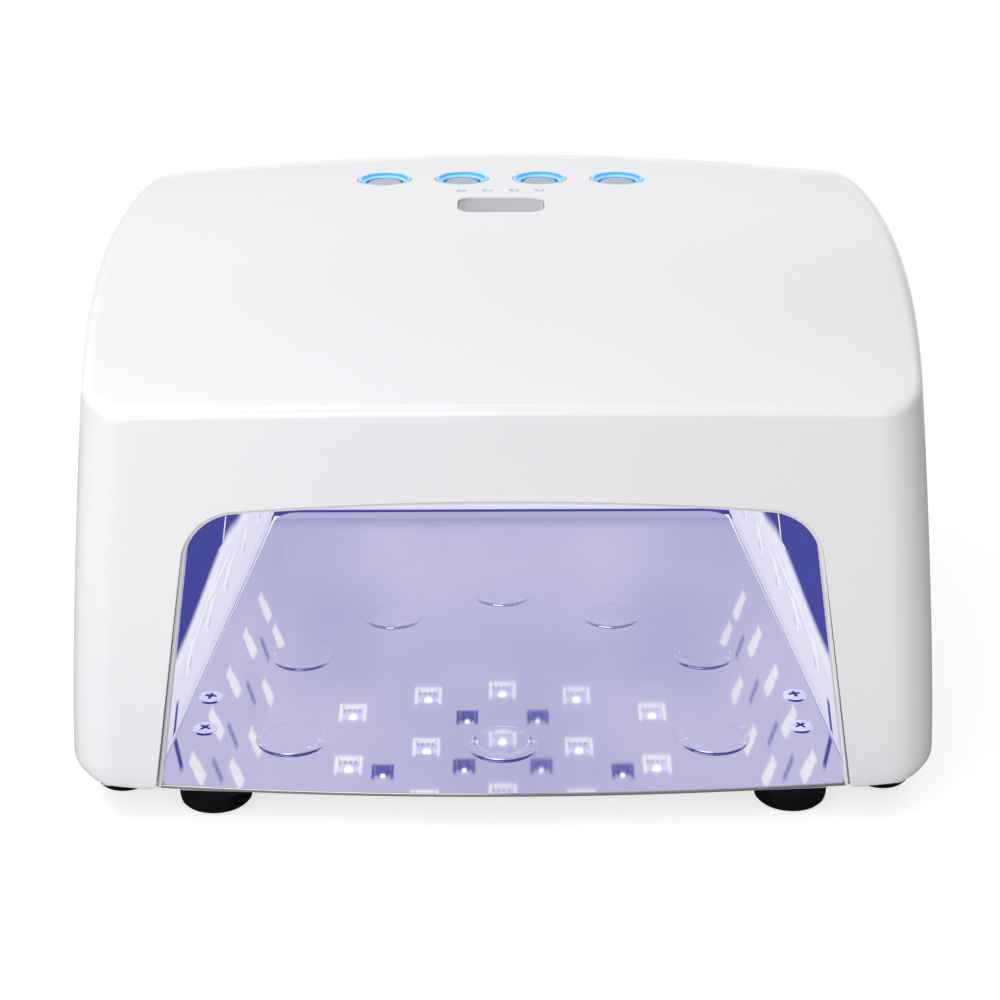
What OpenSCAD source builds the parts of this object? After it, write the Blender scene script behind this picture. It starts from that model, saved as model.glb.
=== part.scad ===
// Cordless nail lamp: a moulded white housing over a mirror-lined hand chamber, with a mirror tray
// that pulls out to the front. The lamp faces -Y and stands on z = 0. In the modules below y = 0 is
// the front face; module placed() then moves each node so that the footprint is centred on x = y = 0.

/* [Housing] */
// Greatest width of the housing
body_w = 240; // [232:1:260]
// Front face to the back of the housing
body_d = 214; // [206:1:226]
// Table to the crease over the front face
crease_z = 121; // [118:1:130]
// Rise of the top from the crease to its highest line
top_rise = 24.4; // [20:0.2:30]
// Front face to the highest line of the top
top_line_y = 124; // [110:1:140]
// Fall of the top towards the sides, at the back
back_crown = 5.4; // [3:0.1:8]
// Front face to the widest point of the plan
widest_y = 100; // [85:1:110]
// How far the sides belly out between the corners
side_bulge = 0.5; // [0.2:0.1:3]
// How far the back bows out
back_bow = 4; // [1:0.1:7]
// Corner radius of the plan at the front
front_corner_r = 13; // [10:0.5:18]
// Corner radius of the plan at the back
back_corner_r = 23; // [18:0.5:30]
// Wall thickness of the shell
shell_wall = 2.6; // [2:0.1:3]
// Inward lean of the side walls at the top, from the middle to the back
side_draft = 5; // [3:0.1:7]
// Inward lean of the side walls at the top, at the front corners
corner_draft = 11; // [8:0.1:13]
// Front face to the place where the sides no longer lean more
draft_blend = 120; // [90:1:130]
// Inward lean of the front wall at the top
front_draft = 1.2; // [0.6:0.1:2]
// Radius along the crease
crease_r = 2; // [1.5:0.1:3]
// Radius along the side and back edges of the top
edge_r = 5.2; // [4:0.1:8]
// Table to the lower rim of the shell
rim_z = 10.1; // [9.9:0.1:12]
// Inward tuck of the sides at the rim
tuck = 5.4; // [4:0.1:7]
// Height of that tuck
tuck_h = 5.7; // [5:0.1:9]

/* [Opening and chamber] */
// Side of the housing to the edge of the chamber floor, at the front
side_space = 22.4; // [21.6:0.1:24]
// Edge of the chamber floor to the side of the opening, at the front
opening_step = 2.1; // [1.5:0.1:4]
// Tray to the middle of the opening's top
opening_h = 86.2; // [82:0.2:90]
// Arch of the opening's top edge
opening_crown = 2.6; // [1:0.1:4]
// Corner radius of the opening
opening_r = 16; // [12:0.5:20]
// Lean of the chamber's side walls in degrees
wall_lean = 8.6; // [6:0.1:10]
// Thickness of the trim round the opening
trim_t = 1; // [0.8:0.1:1.4]
// Taper of each side of the chamber towards the back in degrees
floor_taper = 4.7; // [4:0.1:5.4]
// Chamber's back wall to the back of the housing
back_space = 13.5; // [13:0.1:18]
// Height of the chamber's ceiling behind the trim
ceiling_z0 = 93.7; // [91:0.1:96]
// Fall of the ceiling towards the back in degrees
ceiling_slope = 10.2; // [8:0.1:11]
// Radius between ceiling and side walls
cove_r = 15; // [10:0.5:18]
// Thickness of the reflector sheets
sheet_t = 1; // [0.8:0.1:1.4]

/* [Lamps] */
// Side of a lamp window in the ceiling
window_s = 7.4; // [6:0.1:8]
// Distance between the lamp columns of the ceiling
lamp_pitch = 26.2; // [24:0.1:27]
// Bend of a lamp row, from its middle to its ends
row_sag = 12.4; // [6:0.1:14]
// Distance between the lamps along a side wall
side_pitch = 28; // [24:0.5:29]
// Height of a lamp window in a side wall
side_window_h = 10; // [8:0.5:12]
// Width of a lamp window in a side wall
side_window_w = 7; // [5:0.5:9]
// Thickness of the circuit boards
board_t = 1.6; // [1.2:0.1:2]

/* [Tray] */
// Table to the top of the tray
tray_z = 9.5; // [9:0.1:9.8]
// Thickness of the mirror plate
plate_t = 1; // [0.8:0.1:1.4]
// How far the plate's front edge bows out of the front face
tray_bow = 3.8; // [2:0.1:6]
// Corner radius of the plate
plate_r = 6; // [4:0.5:8]
// Thickness of the plastic base under the plate
tray_base_t = 3; // [2.6:0.1:3.4]
// Corner radius of the plate at the back
plate_back_r = 8; // [4:0.5:12]
// Height of the finger rests over the plate
rest_h = 0.9; // [0.5:0.1:1.4]
// Diameter of the rests for the finger tips
tip_rest_d = 19; // [16:0.5:22]
// Diameter of the rests near the front
front_rest_d = 21; // [18:0.5:24]
// Diameter of the tray's rubber feet
tray_foot_d = 20.4; // [16:0.2:24]
// Diameter of the housing's rubber feet
foot_d = 16; // [12:0.5:17]
// Head diameter of the tray screws
tray_screw_d = 6.8; // [5.5:0.1:8]

/* [Control panel] */
// Distance between buttons
button_pitch = 24.2; // [22:0.1:26]
// Front face to the row of buttons
button_y = 145.5; // [141:0.5:150]
// Outer diameter of a button's light ring
ring_d = 16.8; // [15:0.1:18.5]
// Diameter of a button cap
cap_d = 10.9; // [9.5:0.1:11.5]
// Depth of the cap under the ring's rim
cap_sink = 0.8; // [0.4:0.1:1.2]
// Travel of a button
button_travel = 0.6; // [0.4:0.05:0.7]
// Width of the display window
display_w = 26; // [22:0.5:30]
// Length of the display window from front to back
display_l = 17; // [14:0.5:18]
// Row of buttons to the middle of the display window
display_step = 33; // [31:0.5:35]
// Distance between the indicator lights
mark_pitch = 7.95; // [7:0.05:9]
// Row of buttons to the row of indicator lights
mark_step = 16.5; // [15.5:0.5:18]

/* [Inside] */
// Diameter of a battery cell
cell_d = 18.4; // [18:0.1:18.6]
// Length of a battery cell
cell_l = 65; // [64:0.5:66]
// Height of the heat sink's fins
fin_h = 9; // [6:0.5:12]
// Number of fins
fin_count = 15; // [9:2:19]
// Height of the power socket's axis over the table
socket_z = 27; // [24:0.5:34]
// Side of the housing to the axis of the power socket
socket_side = 26; // [25:0.5:28]
// Bore of the power socket
socket_bore_d = 5.7; // [5.5:0.1:6]

/* [Hidden] */

gap = 0.3;                                     // clearance between neighbouring pieces
small_gap = 0.15;                              // clearance round a piece set into another
body_color = [0.95, 0.95, 0.97];
mirror_color = [0.80, 0.80, 0.92];
blue_color = [0.35, 0.66, 0.93];
board_color = [0.10, 0.32, 0.20];
rubber_color = [0.04, 0.04, 0.04];
steel_color = [0.72, 0.73, 0.76];
lamp_color = [0.93, 0.92, 1.00];

front_y = -(body_d - tray_bow) / 2;            // where the front face lies in the finished frame
wall_top = rim_z + tuck_h;                     // the side walls start here, over the tuck
floor_w = body_w - 2 * side_space;             // width of the chamber floor, carried to the front face
opening_w = floor_w - 2 * opening_step;
back_y = body_d - back_space;                  // the chamber's back wall
display_y = button_y - display_step;
mark_y = button_y - mark_step;
socket_x = body_w / 2 - socket_side;
trim_y0 = front_draft + 0.5;                   // front edge of the trim
trim_flange_t = 1.2;
chamber_y0 = 8;                                // front edge of the reflectors
frame_t = 3;
frame_top = rim_z - 0.1;
frame_z = frame_top - frame_t;
frame_setback = 8.5;                           // keeps the base frame out of sight behind the front
frame_inset = tuck + 1;
screw_r = 1.5;
lean_power = 1.27;                             // the sides lean in faster towards the top
front_crown = 1.2;                             // fall of the crease towards its ends
crown_power = 2.15;
crown_growth = 4.1;
back_drop = 4.1;

// Plan outline. Each point is [x, y, nx, ny] with its outward normal, from the middle of the front
// round the right side to the middle of the back.
front_turn = atan(2 * side_bulge / (widest_y - front_corner_r));
back_start_y = body_d - back_bow - back_corner_r;
back_turn = atan(2 * side_bulge / (back_start_y - widest_y));
front_cx = body_w / 2 - side_bulge - front_corner_r * cos(front_turn);
back_cx = body_w / 2 - side_bulge - back_corner_r * cos(back_turn);
bow_turn = atan(2 * back_bow / back_cx);
back_cy = body_d - back_bow - back_corner_r * cos(bow_turn);
back_x = back_cx + back_corner_r * sin(bow_turn);
side_y0 = front_corner_r * (1 - sin(front_turn));
side_y1 = back_cy + back_corner_r * sin(back_turn);

function lerp(a, b, t) = a + (b - a) * t;
function flip(list) = [for (i = [len(list) - 1:-1:0]) list[i]];
function arc_point(cx, cy, r, a) = [cx + r * cos(a), cy + r * sin(a), cos(a), sin(a)];
function side_point(y, end_y) =
    let (t = (widest_y - y) / (widest_y - end_y), slope = 2 * side_bulge * t / (widest_y - end_y),
         n = sqrt(1 + slope * slope))
    [body_w / 2 - side_bulge * t * t, y, 1 / n, -slope / n];
function back_point(x) =
    let (slope = 2 * back_bow * x / (back_x * back_x), n = sqrt(1 + slope * slope))
    [x, body_d - back_bow * pow(x / back_x, 2), slope / n, 1 / n];

half_outline = concat(
    [for (i = [0:3]) [front_cx * i / 4, 0, 0, -1]],
    [for (i = [0:5]) arc_point(front_cx, front_corner_r, front_corner_r, lerp(-90, -front_turn, i / 5))],
    [for (i = [1:5]) side_point(lerp(side_y0, widest_y, i / 5), side_y0)],
    [for (i = [1:4]) side_point(lerp(widest_y, side_y1, i / 4), side_y1)],
    [for (i = [1:7]) arc_point(back_cx, back_cy, back_corner_r, lerp(back_turn, 90 - bow_turn, i / 7))],
    [for (i = [3:-1:0]) back_point(back_x * i / 4)]);
outline = concat(half_outline,
    [for (i = [len(half_outline) - 2:-1:1]) let (p = half_outline[i]) [-p[0], p[1], -p[2], p[3]]]);

// Moves an outline point inwards: by s at the sides, f at the front, b at the back, and skin all round
function inset(p, s, f, b, skin) =
    let (d = s * p[2] * p[2] + (p[3] < 0 ? f : b) * p[3] * p[3] + skin) [p[0] - p[2] * d, p[1] - p[3] * d];

// Height of the top over the table at [x, y]
function top_z(p) =
    let (u = (p[1] - front_draft) / (top_line_y - front_draft),
         mid = crease_z + (u < 1 ? top_rise * (1 - pow(1 - u, 3)) : top_rise - pow((u - 1) * back_drop, 2)),
         fall = lerp(front_crown, back_crown, pow(max(p[1], 0) / (body_d - back_corner_r), crown_growth)))
    mid - fall * pow(abs(p[0]) / (body_w / 2 - side_draft), crown_power);

function edge_radius(p, skin) =
    max(lerp(crease_r, edge_r, min(max(p[1] - 4, 0) / 60, 1)) - skin, 0.6);
function draft_at(y) = lerp(corner_draft, side_draft, 1 - pow(1 - min(max(y / draft_blend, 0), 1), 2));
function drafted(p, q, skin) = // the plan leans in by its whole draft at q = 1
    let (d = (p[3] < 0 ? front_draft : side_draft) * q * p[3] * p[3] + skin)
    [p[0] * (1 - draft_at(p[1]) * q / (body_w / 2)) - p[2] * skin, p[1] - p[3] * d];
function tucked_ring(a, skin) =
    [for (p = outline) let (k = 1 - sin(a), xy = inset(p, tuck * k, k, tuck * k, skin))
        [xy[0], xy[1], rim_z + tuck_h * (1 - cos(a))]];
function wall_ring(q, skin) =
    [for (p = outline)
        let (top = top_z(drafted(p, 1, skin)) - skin - edge_radius(p, skin),
             xy = drafted(p, pow(q, lean_power), skin))
        [xy[0], xy[1], lerp(wall_top, top, q)]];
function edge_point(p, a, skin) =
    let (r = edge_radius(p, skin), xy = drafted(p, 1, skin + r * (1 - cos(a))))
    [xy[0], xy[1], top_z(xy) - skin - r * (1 - sin(a))];
function top_point(p, s, skin) =
    let (e = edge_point(p, 90, skin), xy = [e[0] * (1 - s), lerp(e[1], top_line_y * 0.8, s)])
    [xy[0], xy[1], top_z(xy) - skin];

tuck_angles = [0, 30, 60, 90];
wall_steps = [0.3, 0.65, 1];
edge_angles = [18, 36, 54, 72, 90];
top_steps = [0.05, 0.13, 0.25, 0.42, 0.62, 0.82];

// The housing's outer form, or with a skin the same form that far inside it
module housing_solid(skin, drop = 0) {
    rings = concat(
        drop > 0 ? [[for (p = tucked_ring(0, skin)) [p[0], p[1], rim_z - drop]]] : [],
        [for (a = tuck_angles) tucked_ring(a, skin)],
        [for (q = wall_steps) wall_ring(q, skin)],
        [for (a = edge_angles) [for (p = outline) edge_point(p, a, skin)]],
        [for (s = top_steps) [for (p = outline) top_point(p, s, skin)]]);
    tip = [0, top_line_y * 0.8];
    loft(rings, [tip[0], tip[1], top_z(tip) - skin]);
}

// A closed solid through rings of equal length, with a flat base and one point at the top
module loft(rings, tip) {
    n = len(rings[0]);
    last = (len(rings) - 1) * n;
    polyhedron(
        points = concat([for (r = rings) each r], [tip]),
        faces = concat(
            [[for (i = [0:n - 1]) i]],
            [for (k = [0:len(rings) - 2], i = [0:n - 1]) let (a = k * n + i, b = k * n + (i + 1) % n)
                each [[a, a + n, b + n], [a, b + n, b]]],
            [for (i = [0:n - 1]) [last + i, len(rings) * n, last + (i + 1) % n]]));
}

// A bent sheet between two sections, each its inner points followed by its outer ones backwards
module sheet(near, far) {
    n = len(near);
    polyhedron(
        points = concat(near, far),
        faces = concat(
            [for (i = [0:n - 1]) let (j = (i + 1) % n) each [[i, n + j, j], [i, n + i, n + j]]],
            [for (k = [0:n / 2 - 2]) each [[k, n - 2 - k, n - 1 - k], [k, k + 1, n - 2 - k]]],
            [for (k = [0:n / 2 - 2]) each [[n + k, 2 * n - 1 - k, 2 * n - 2 - k],
                [n + k, 2 * n - 2 - k, n + k + 1]]]));
}

module placed() { translate([0, front_y, 0]) children(); }
module both_sides() { children(); mirror([1, 0, 0]) children(); }
module from_front(y0, depth) {
    translate([0, y0 + depth, 0]) rotate([90, 0, 0]) linear_extrude(depth) children();
}
module slab(z0, z1) { translate([0, 0, z0]) linear_extrude(z1 - z0) children(); }
module rounded(w, l, r) { offset(r = r, $fn = 32) square([w - 2 * r, l - 2 * r], center = true); }

// Outline of the opening in the front view, shrunk all round by t
arch_cz = tray_z + opening_h - opening_crown - opening_r;
arch_cx = opening_w / 2 - tan(wall_lean) * (arch_cz - tray_z) - opening_r / cos(wall_lean);
function crown_z(x) = arch_cz + opening_r + opening_crown * (1 - pow(x / arch_cx, 2));
module arch(t = 0, foot = rim_z - 2) {
    half = opening_w / 2 - tan(wall_lean) * (foot - tray_z) - t / cos(wall_lean);
    hull() {
        for (s = [-1, 1]) {
            translate([s * arch_cx, arch_cz]) circle(r = opening_r - t, $fn = 72);
            polygon([[s * half, foot], [0, foot], [0, foot + 1]]);
        }
        polygon([for (i = [-8:8]) [arch_cx * i / 8, crown_z(arch_cx * i / 8) - t], [0, arch_cz]]);
    }
}

// Chamber: half width of the floor, height of the ceiling, and the frames that follow its walls
function floor_x(y) = floor_w / 2 - tan(floor_taper) * y;
function ceiling_z(y) = ceiling_z0 - tan(ceiling_slope) * (y - chamber_y0);
function cove_z(y) = ceiling_z(y) - cove_r;
function cove_x(y) = floor_x(y) - tan(wall_lean) * (cove_z(y) - frame_top) - cove_r / cos(wall_lean);
cove_steps = 12;
function cove_section(y, grow) =
    let (right = [for (i = [0:cove_steps]) let (a = lerp(wall_lean, 90, i / cove_steps))
        [cove_x(y) + (cove_r + grow) * cos(a), y, cove_z(y) + (cove_r + grow) * sin(a)]])
    concat(right, [for (p = flip(right)) [-p[0], p[1], p[2]]]);
module on_ceiling(x, y) { translate([x, y, ceiling_z(y)]) rotate([-ceiling_slope, 0, 0]) children(); }
module on_wall(y) { // x outwards, y along the wall and z up it, for the right-hand wall
    translate([floor_x(y), y, frame_top]) rotate([0, 0, floor_taper]) rotate([0, -wall_lean, 0]) children();
}
function wall_height(y) = (cove_z(y) + cove_r * sin(wall_lean) - gap - frame_top) / cos(wall_lean);

// Lamps of the ceiling: bright ones in three bowed rows of five, dim ones between them
lamp_rows = [167, 139, 112];
dim_rows = [[152.5, 0.47], [126.5, 0.5], [130.5, 1.55]];
function sagged(y, column) = y - row_sag * pow(column / 2, 2);
bright_spots = [for (y = lamp_rows, c = [-2:2]) [c * lamp_pitch, sagged(y, c)]];
dim_spots = [for (r = dim_rows, s = [-1, 1]) [s * r[1] * lamp_pitch, sagged(r[0], r[1])]];
low_y0 = 46;
high_y0 = 83;
high_z = [42, 46, 41, 34.5];                   // the upper windows keep under the rolled cove
low_row = [for (i = [0:4]) [low_y0 + side_pitch * i, 18.5]];
high_row = [for (i = [0:3]) [high_y0 + side_pitch * i, high_z[i]]];
dim_w = window_s * 0.72;
dim_l = window_s * 0.8;
side_spots = concat(low_row, high_row);

board_y0 = sagged(lamp_rows[2], 2) - 7.6;
board_y1 = lamp_rows[0] + 10;
side_board_y0 = low_y0 - 8;
side_board_l = (high_row[3][0] + 7 - side_board_y0) / cos(floor_taper);
board_half = 2 * lamp_pitch + 11.6;
frame_hole = 2 * board_half - 8;
holder_half = cell_l + 3;                      // half the width of the battery holder
frame_plate_t = 3;
cup_t = 0.8;
lamp_board_z = sheet_t + frame_plate_t + 0.02; // underside of the ceiling board, over the ceiling
screw_side = 15.6;                             // side of the housing to its screws
pillars = [[body_w / 2 - 16.5, 70], [body_w / 2 - 20.5, body_d - 51]];
bosses = [[body_w / 2 - screw_side, 34], [body_w / 2 - screw_side - 1.4, body_d - 94]];
ear_drop = 4.5;

/* Housing */

module upper_shell() {
    color(body_color) {
        difference() {
            housing_solid(0);
            housing_solid(shell_wall, 2);
            from_front(-1, shell_wall + front_draft + 3) arch();
            for (i = [0:3]) placed_button(i) well(ring_d / 2 + small_gap);
            translate([0, display_y, 0]) slab(crease_z, crease_z + 40) hull_rect(display_w, display_l, 3.5);
            for (i = [0:3]) translate([mark_x(i), mark_y, top_z([0, mark_y]) - 8]) well(mark_r + small_gap);
            vents();
            translate([socket_x, body_d - 12, socket_z]) rotate([-90, 0, 0]) well(socket_nose_r + 0.2);
        }
        intersection() {
            housing_solid(shell_wall / 2);
            union() {
                both_sides() for (b = bosses) base_boss(b);
                both_sides() for (y = panel_screw_y) panel_post(y);
            }
        }
    }
}
module well(r) {
    hull() {
        cylinder(r = r, h = 0.01, $fn = 40);
        translate([0, 0, 24]) cylinder(r = r, h = 0.01, $fn = 40);
    }
}
module hull_rect(w, l, r) {
    hull() for (x = [-1, 1], y = [-1, 1])
        translate([x * (w / 2 - r), y * (l / 2 - r)]) circle(r = r, $fn = 24);
}
module vents() { // upright cooling slots through the back wall
    slot_w = 2.4;
    for (i = [-9:9]) if (abs(i) > 1)
        translate([i * 6.5, body_d - 16, 0]) rotate([-90, 0, 0]) hull() for (z = [72, 100])
            translate([0, -z, 0]) cylinder(d = slot_w, h = 20, $fn = 10);
}
module base_boss(b) {
    difference() {
        translate([b[0], b[1], frame_top]) {
            cylinder(r = 3.4, h = 16, $fn = 24);
            translate([0, -1, 3]) cube([16, 2, 13]);
        }
        translate([b[0], b[1], frame_top - 1]) cylinder(r = screw_r + small_gap, h = 11, $fn = 16);
    }
}
panel_screw_y = [button_y - 43.5, button_y + 9.5];
panel_screw_x = 49;
module panel_post(y) {
    difference() {
        translate([panel_screw_x, y, control_z + board_t]) cylinder(r = 3, h = 30, $fn = 24);
        translate([panel_screw_x, y, control_z]) cylinder(r = screw_r + small_gap, h = 9, $fn = 16);
    }
}

module opening_trim() {
    color([0.78, 0.77, 0.76]) difference() {
        union() {
            from_front(trim_y0, chamber_y0 - gap - trim_y0) arch(small_gap, rim_z);
            from_front(shell_wall + front_draft + gap, trim_flange_t) intersection() {
                arch(-3.2, rim_z);
                translate([-opening_w, rim_z]) square([2 * opening_w, 200]);
            }
        }
        from_front(0, 20) arch(trim_t, rim_z - 2);
    }
}

function frame_outline() = [for (p = outline) let (xy = inset(p, frame_inset, frame_inset, frame_inset, 0))
    [xy[0], max(xy[1], frame_setback)]];
module tray_bay(extra) { // plan of the space that the tray slides in, wider all round by extra
    polygon([[-floor_x(-20) - extra, -20], [floor_x(-20) + extra, -20],
        [floor_x(back_y) + extra, back_y - gap + extra], [-floor_x(back_y) - extra, back_y - gap + extra]]);
}
module base_frame() {
    color(body_color) difference() {
        union() {
            slab(frame_z, frame_top) difference() {
                polygon(frame_outline());
                tray_bay(0.6);
            }
            both_sides() for (p = pillars)
                translate([p[0], p[1], frame_top - 1]) cylinder(r = 4, h = pillar_top(p) - frame_top + 1);
            for (s = [-1, 1])
                translate([socket_x + s * (charge_w / 2 - 1) - 2, charge_y - 1.5, frame_top - 1])
                    cube([4, board_t + 3, 17]);
        }
        both_sides() for (b = bosses) translate([b[0], b[1], frame_z - 1]) {
            cylinder(r = screw_r + small_gap, h = frame_t + 2);
            cylinder(r = 2.8, h = 2.6);
        }
        both_sides() for (p = pillars)
            translate([p[0], p[1], pillar_top(p) - 9]) cylinder(r = screw_r, h = 10);
        both_sides() for (f = foot_spots)
            translate([f[0], f[1], frame_z - 1]) cylinder(r = stem_r + 0.1, h = 3.2);
        translate([socket_x - charge_w / 2 - small_gap, charge_y - small_gap, frame_top + 2 - small_gap])
            cube([charge_w + 2 * small_gap, board_t + 2 * small_gap, 20]);
        both_sides() translate([magnet_x, back_y - gap + 0.6 - 1, magnet_z]) rotate([-90, 0, 0])
            cylinder(r = magnet_r + small_gap, h = 5 + 0.2);
    }
}
function pillar_top(p) = ceiling_z(p[1]) - ear_drop;

foot_spots = [[body_w / 2 - 12, 24], [body_w / 2 - 20, body_d - 38]];
stem_r = 3;
module foot(d, h, stem) {
    rotate_extrude($fn = 64) polygon([[0, 0], [d / 2 - 2.2, 0], [d / 2 - 0.7, 0.8], [d / 2, 2.4],
        [d / 2, h], [stem_r, h], [stem_r, h + stem], [0, h + stem]]);
}
module housing_feet() {
    color(rubber_color) both_sides() for (f = foot_spots)
        translate([f[0], f[1], 0]) foot(foot_d, frame_z, 2);
}
module pan_screw(head_r, head_h, length) { // head upwards, its seat at z = 0
    cylinder(r = screw_r, h = 0.01);
    translate([0, 0, -length]) cylinder(r = screw_r - 0.1, h = length);
    difference() {
        rotate_extrude($fn = 48) polygon([[0, 0], [head_r, 0], [head_r, head_h * 0.35],
            [head_r * 0.72, head_h * 0.86], [0, head_h]]);
        for (a = [0, 90]) rotate([0, 0, a])
            translate([-head_r * 0.42, -0.35, head_h * 0.5]) cube([head_r * 0.84, 0.7, 2]);
    }
}
housing_screw_l = 9;
module housing_screws() {
    color(steel_color) both_sides() for (b = bosses)
        translate([b[0], b[1], frame_z + 1.6]) mirror([0, 0, 1]) pan_screw(2.6, 1.5, housing_screw_l);
}

/* Chamber */

module ceiling_reflector() {
    color(mirror_color) difference() {
        sheet(concat(cove_section(chamber_y0, 0), flip(cove_section(chamber_y0, sheet_t))),
              concat(cove_section(back_y - gap, 0), flip(cove_section(back_y - gap, sheet_t))));
        for (p = bright_spots) on_ceiling(p[0], p[1]) slab(-1, sheet_t + 1) rounded(window_s, window_s, 1.2);
        for (p = dim_spots) on_ceiling(p[0], p[1]) slab(-1, sheet_t + 1) rounded(dim_w, dim_l, 0.9);
    }
}
wall_len = (back_y - gap - chamber_y0) / cos(floor_taper);
slit_y = 32;
foot_w = 5.6;                                  // foot flange that carries the side board
foot_l = side_board_y0 + side_board_l + 4 - chamber_y0;
module right_reflector() {
    color(mirror_color) difference() {
        on_wall(chamber_y0) {
            rotate([90, 0, 90]) linear_extrude(sheet_t) polygon([[0, 0], [wall_len, 0],
                [wall_len, wall_height(back_y)], [0, wall_height(chamber_y0)]]);
            rotate([0, wall_lean, 0]) cube([foot_w, foot_l, sheet_t]);
        }
        for (p = side_spots) on_wall(p[0]) translate([-1, 0, p[1]]) rotate([90, 0, 90])
            linear_extrude(sheet_t + 2) rounded(side_window_w, side_window_h, 1.2);
        on_wall(slit_y) translate([-2, 0, -1]) cube([10, 0.9, 12]);
    }
}
module left_reflector() { mirror([1, 0, 0]) right_reflector(); }
module back_reflector() {
    half = floor_x(back_y) + 2;
    top = ceiling_z(back_y) + 1;
    lean = tan(wall_lean) * (top - frame_top);
    color(mirror_color) from_front(back_y, sheet_t)
        polygon([[-half, frame_top], [half, frame_top], [half - lean, top], [-half + lean, top]]);
}

frame_y0 = 12;
frame_l = back_y - frame_y0 - 18;
frame_half = max(board_half + 4, holder_half); // the frame carries the board and the battery holder
arm_x = frame_half - 6;
module ceiling_frame() {
    color([0.88, 0.88, 0.90]) difference() {
        union() {
            on_ceiling(0, frame_y0) translate([-frame_half, 0, sheet_t])
                cube([2 * frame_half, frame_l, frame_plate_t]);
            both_sides() for (p = pillars) {
                on_ceiling(0, p[1]) translate([arm_x, -5, sheet_t])
                    cube([p[0] - arm_x, 10, frame_plate_t]);
                translate([p[0], p[1], pillar_top(p)])
                    cylinder(r = 5, h = ear_drop + sheet_t + frame_plate_t);
            }
        }
        on_ceiling(0, frame_y0) translate([-frame_hole / 2, 10, 0]) cube([frame_hole, holder_l - 5, 10]);
        on_ceiling(0, board_y0 + 2) translate([-frame_hole / 2, 0, 0])
            cube([frame_hole, board_y1 - board_y0 - 4, 10]);
        both_sides() for (p = pillars) translate([p[0], p[1], 0]) {
            cylinder(r = screw_r + small_gap, h = 200);
            translate([0, 0, pillar_top(p) + 4]) cylinder(r = 3.2, h = 20);
        }
    }
}
module frame_screws() {
    color(steel_color) both_sides() for (p = pillars)
        translate([p[0], p[1], pillar_top(p) + 4]) pan_screw(2.8, 1.9, 11);
}

module ceiling_board() {
    color(board_color) on_ceiling(0, board_y0) translate([-board_half, 0, lamp_board_z])
        cube([2 * board_half, board_y1 - board_y0, board_t]);
}
module cup(w, l, r) { // square tube between a lamp window and the ceiling board
    slab(sheet_t + 0.1, lamp_board_z - 0.02) difference() {
        rounded(w + 2 * cup_t, l + 2 * cup_t, r + cup_t);
        rounded(w, l, r);
    }
}
module bright_cups() {
    color([0.95, 0.95, 1.0]) for (p = bright_spots) on_ceiling(p[0], p[1]) cup(window_s, window_s, 1.2);
}
module dim_cups() {
    color([0.35, 0.36, 0.62]) for (p = dim_spots) on_ceiling(p[0], p[1]) cup(dim_w, dim_l, 0.9);
}
module lamp(size) { // looks down, with its back at z = 0
    translate([-size / 2, -size / 2, -1.2]) cube([size, size, 1.2]);
    translate([0, 0, -1.2]) rotate([180, 0, 0]) rotate_extrude($fn = 48)
        polygon([[0, 0], [size * 0.36, 0], [size * 0.34, 0.6], [size * 0.22, 1.1], [0, 1.3]]);
}
module ceiling_lamps() {
    color(lamp_color) {
        for (p = bright_spots) on_ceiling(p[0], p[1]) translate([0, 0, lamp_board_z]) lamp(4.6);
        for (p = dim_spots) on_ceiling(p[0], p[1]) translate([0, 0, lamp_board_z]) lamp(3.4);
    }
}
side_board_x = sheet_t + 2.6;
module right_board() { // its upper edge runs down with the ceiling
    near = wall_height(side_board_y0) - 1.2;
    far = wall_height(high_row[3][0] + 7) - 1.2;
    color(board_color) on_wall(side_board_y0) translate([side_board_x, 0, 0.6])
        rotate([90, 0, 90]) linear_extrude(board_t)
            polygon([[0, 0], [side_board_l, 0], [side_board_l, far], [0, near]]);
}
module right_lamps() {
    color(lamp_color) for (p = side_spots) on_wall(p[0]) translate([gap, 0, p[1]]) rotate([90, 0, 90])
        linear_extrude(side_board_x - gap) rounded(side_window_w - 2 * gap, side_window_h - 2 * gap, 1);
}
module left_board() { mirror([1, 0, 0]) right_board(); }
module left_lamps() { mirror([1, 0, 0]) right_lamps(); }

/* Inside, over the chamber */

sink_z = lamp_board_z + board_t;
module heat_sink() {
    half = board_half - 6;
    length = board_y1 - board_y0 - 9;
    color([0.75, 0.76, 0.78]) on_ceiling(0, board_y0 + 4) translate([0, 0, sink_z]) {
        translate([-half, 0, 0]) cube([2 * half, length, 3]);
        for (i = [0:fin_count - 1]) translate([lerp(-half, half - 1.4, i / (fin_count - 1)), 0, 2.5])
            cube([1.4, length, fin_h + 0.5]);
    }
}

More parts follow.
